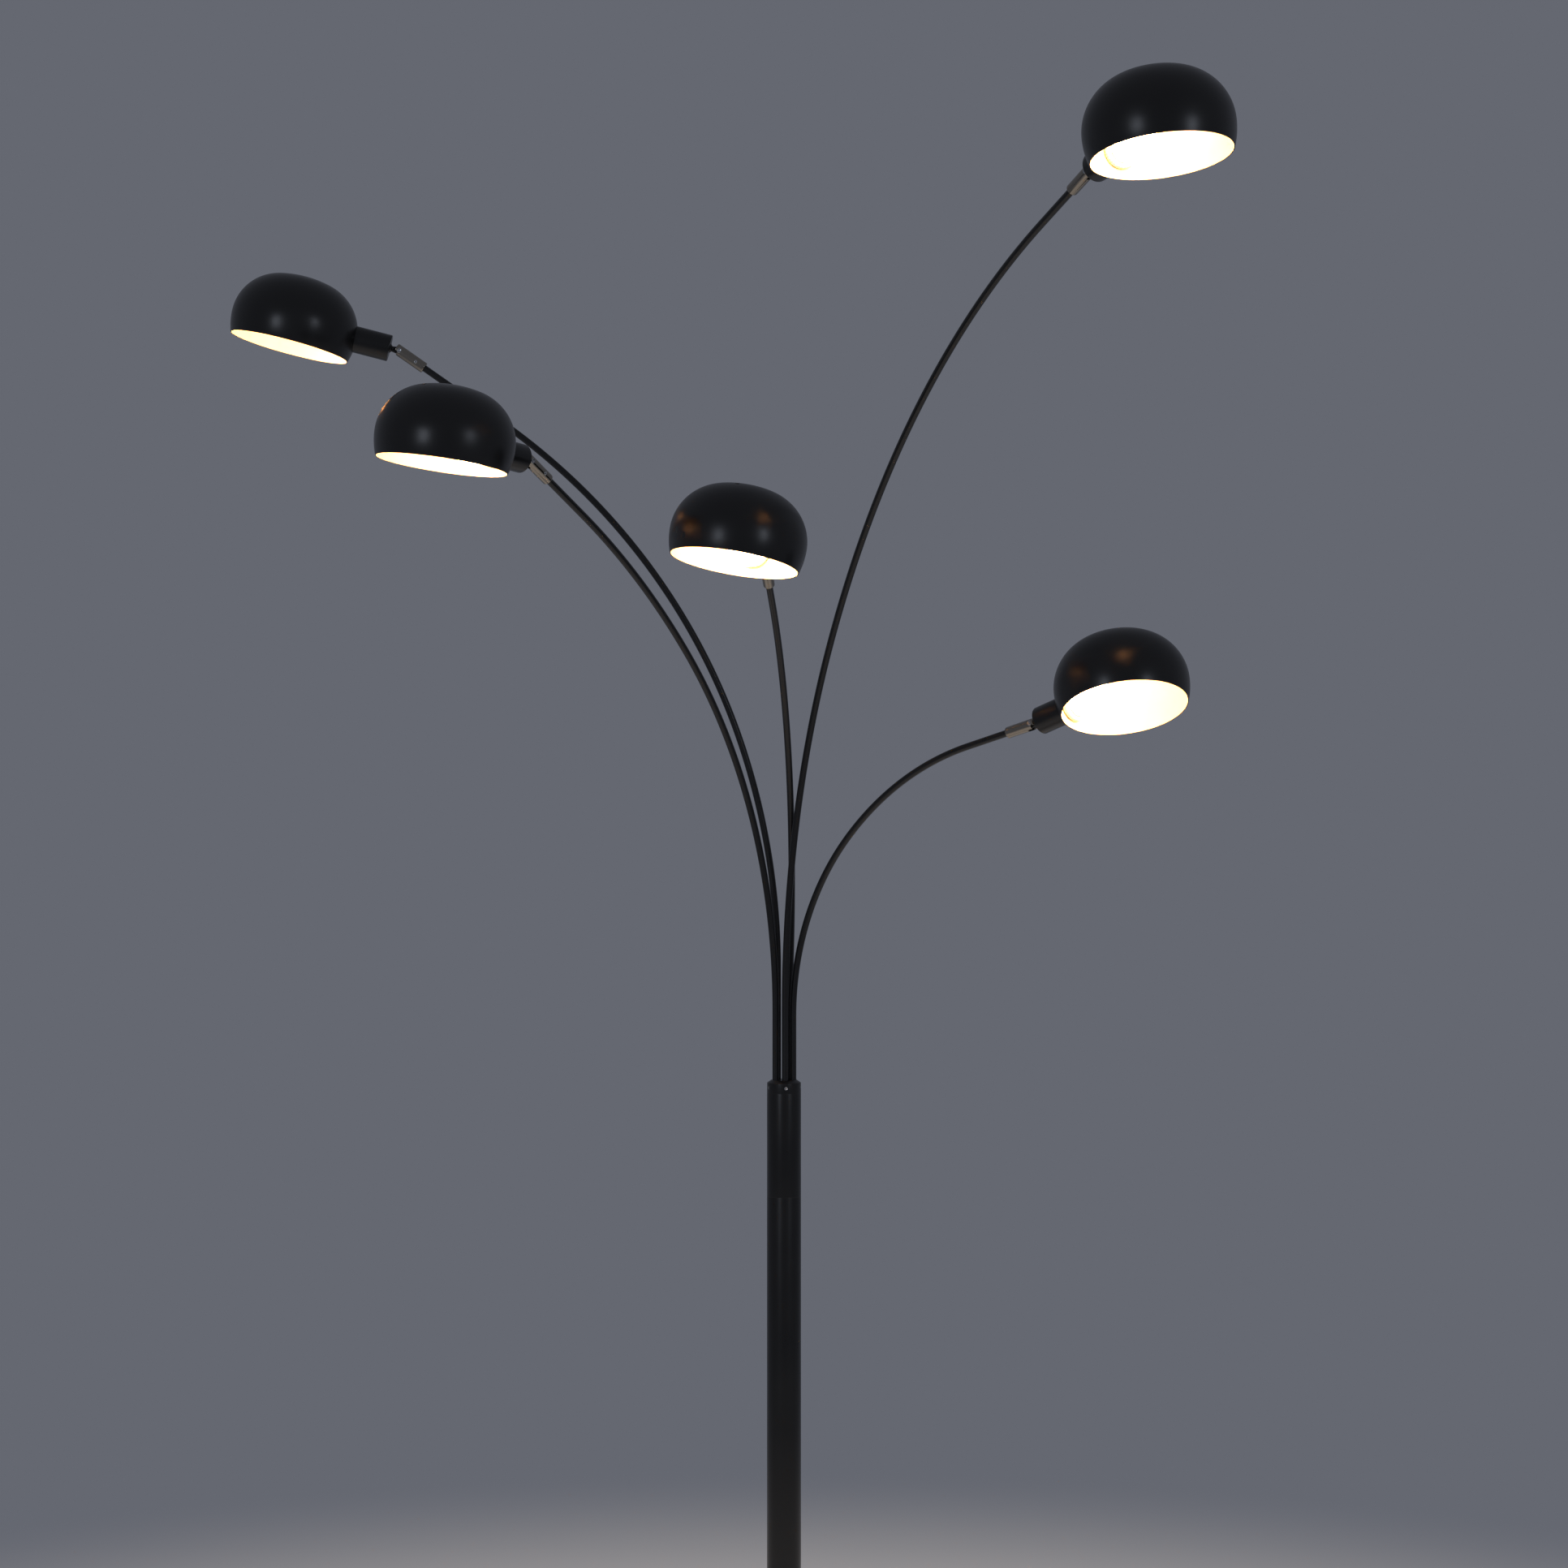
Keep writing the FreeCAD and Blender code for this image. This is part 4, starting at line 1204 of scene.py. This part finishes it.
# %% [markdown]
# ## The base cover
#
# A spun steel cover lies over a cast-iron weight on a rubber pad. It is nearly
# flat, with a faint crown and a round edge. It is the part of the base that
# shows, so it is turned afresh with enough steps for a clean highlight, and the
# cord's inlet is cut through its back.

# %% The spun base cover
COVER_WALL = 1.2
COVER_EDGE_TOP = 23.0
COVER_EDGE_ROUND = 7.0
COVER_BOTTOM = 1.5
COVER_FLAT = 26.0
COVER_CROWNING = 0.35
COVER_STEPS = 24
COVER_EDGE_STEPS = 12
NIPPLE_HOLE = 6.1
GLAND_HEIGHT = 9.0
GLAND_RADIUS = 5.0


def cover_line(radius, inset):
    """From the middle out over the top and down the side."""
    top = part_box("base_cover")[1].z / MM - inset
    edge_top = COVER_EDGE_TOP - inset
    corner = COVER_EDGE_ROUND - inset
    points = [(top, NIPPLE_HOLE), (top, COVER_FLAT)]
    reach = radius - inset - corner
    for step in range(1, COVER_STEPS):
        share = step / COVER_STEPS
        distance = COVER_FLAT + (reach - COVER_FLAT) * share
        bulge = COVER_CROWNING * (top - edge_top) * 4.0 * share * (1.0 - share)
        points.append((top + (edge_top - top) * share + bulge, distance))
    for step in range(COVER_EDGE_STEPS + 1):
        angle = math.pi / 2.0 * (1.0 - step / COVER_EDGE_STEPS)
        points.append((edge_top - corner + corner * math.sin(angle), reach + corner * math.cos(angle)))
    points.append((COVER_BOTTOM, radius - inset))
    return points


def cover_mesh():
    radius = (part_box("base_cover")[1].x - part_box("base_cover")[0].x) / 2.0 / MM
    outline = cover_line(radius, 0.0) + list(reversed(cover_line(radius, COVER_WALL)))
    mesh = turned("cover", outline, [BLACK], steps=192)
    mesh.transform(UPRIGHT)
    inlet = cross_rod(radius - 8.0, radius + 4.0, GLAND_RADIUS)
    inlet.transform(Matrix.Translation((0, 0, GLAND_HEIGHT * MM)))
    return carved(mesh, [inlet])


add_piece("spun_base_cover", cover_mesh(), Matrix.Identity(4), "stand", ["base_cover"])
print("cover done")

# %% [markdown]
# ## The pieces inside the stand
#
# Pad, weight, nipple, nut and washer, gland, plug and joiners are hidden until
# the lamp is taken apart. Their solids have the right shape and lack only a
# finish, so they are welded copies, each with the material of the real one.

# %% Copies for the rest of the stand
INSIDE = {
    "base_pad": ("black_rubber_pad", RUBBER, "pad_rubber"),
    "base_weight": ("cast_weight_disc", IRON, "cast_weight"),
    "base_nipple": ("threaded_nipple", SCREW_STEEL, "zinc_steel"),
    "base_fixings": ("nut_and_washer", SCREW_STEEL, "zinc_steel"),
    "cable_gland": ("nylon_gland", NYLON, "black_plastic"),
    "pole_foot": ("pole_foot_plug", SCREW_STEEL, "zinc_steel"),
    "pole_joiner": ("pole_joiner_sleeve", SCREW_STEEL, "zinc_steel"),
    "head_joiner": ("head_joiner_sleeve", SCREW_STEEL, "zinc_steel"),
}

for node, (name, finish, slot) in INSIDE.items():
    add_piece(name, smooth_copy(node, finish), Matrix.Identity(4), "stand", [node])
print(len(INSIDE), "pieces copied")

# %% [markdown]
# ## Floor
#
# The lamp stands on a plain pale floor in a plain studio. A floor with an edge
# would cut the picture in two, so it fades into the background's colour with
# distance from the lamp, and only its near part takes light and shadow.

# %% Floor
BACKGROUND = "#656871"
FLOOR_COLOUR = "#c9c3c0"
FLOOR_RADIUS = 9.0
FADE_START = 0.9
FADE_END = 2.6


def floor_material():
    material, tree = new_material("pale studio floor")
    coords = add_node(tree, "ShaderNodeTexCoord").outputs["Object"]
    distance = add_node(tree, "ShaderNodeVectorMath", {0: coords}, operation="LENGTH")
    fade = add_node(tree, "ShaderNodeMapRange", {
        "Value": distance.outputs["Value"], "From Min": FADE_START, "From Max": FADE_END},
        interpolation_type="SMOOTHSTEP")
    near = add_node(tree, "ShaderNodeBsdfDiffuse", {"Color": colour(FLOOR_COLOUR)})
    far = add_node(tree, "ShaderNodeEmission", {"Color": colour(BACKGROUND), "Strength": 1.0})
    mix = add_node(tree, "ShaderNodeMixShader", {
        0: fade.outputs[0], 1: near.outputs[0], 2: far.outputs[0]})
    finish_material(tree, mix)
    return material


def floor():
    shape = bmesh.new()
    bmesh.ops.create_circle(shape, cap_ends=True, segments=128, radius=FLOOR_RADIUS)
    mesh = bpy.data.meshes.new("floor")
    shape.to_mesh(mesh)
    shape.free()
    mesh.materials.append(floor_material())
    piece = bpy.data.objects.new("floor", mesh)
    bpy.context.scene.collection.objects.link(piece)
    return piece


floor()
print("floor of radius", FLOOR_RADIUS, "m")

# %% [markdown]
# ## Light and background
#
# Two soft lamps stand beside the camera and give each shade its two highlights.
# The world adds an even light from all sides. What the camera, mirrors and
# glass see of the world is a plain backdrop of its own, so its colour can be
# chosen without changing the light on the lamp.

# %% Lights and world
WORLD_LIGHT = 0.75
LAMP_TARGET = (0.0, 0.0, 1.5)
LAMP_TINT = "#e8f0ff"


def world():
    sky = bpy.data.worlds.new("studio")
    sky.use_nodes = True
    tree = sky.node_tree
    tree.nodes.clear()
    path = add_node(tree, "ShaderNodeLightPath")
    seen = add_node(tree, "ShaderNodeMath", {
        0: path.outputs["Is Camera Ray"], 1: path.outputs["Is Glossy Ray"]}, operation="MAXIMUM")
    shown = add_node(tree, "ShaderNodeMath", {
        0: seen.outputs[0], 1: path.outputs["Is Transmission Ray"]}, operation="MAXIMUM")
    light = add_node(tree, "ShaderNodeBackground", {"Color": colour("#ffffff"), "Strength": WORLD_LIGHT})
    backdrop = add_node(tree, "ShaderNodeBackground", {"Color": colour(BACKGROUND), "Strength": 1.0})
    mix = add_node(tree, "ShaderNodeMixShader", {
        0: shown.outputs[0], 1: light.outputs[0], 2: backdrop.outputs[0]})
    add_node(tree, "ShaderNodeOutputWorld", {"Surface": mix.outputs[0]})
    bpy.context.scene.world = sky


def soft_lamp(name, spot, target, size, power, tint):
    light = bpy.data.lights.new(name, "AREA")
    light.shape = "RECTANGLE"
    light.size, light.size_y = size
    light.energy = power
    light.color = colour(tint)[:3]
    lamp = bpy.data.objects.new(name, light)
    lamp.location = spot
    lamp.rotation_euler = (Vector(target) - Vector(spot)).to_track_quat("-Z", "Y").to_euler()
    bpy.context.scene.collection.objects.link(lamp)


world()
soft_lamp("soft_left", (-2.3, -4.0, 1.95), LAMP_TARGET, (0.9, 1.1), 12.0, LAMP_TINT)
soft_lamp("soft_right", (2.6, -3.2, 2.0), LAMP_TARGET, (0.7, 1.0), 7.5, LAMP_TINT)
print("two soft lamps and the world")

bpy.context.scene.view_settings.view_transform = "Standard"
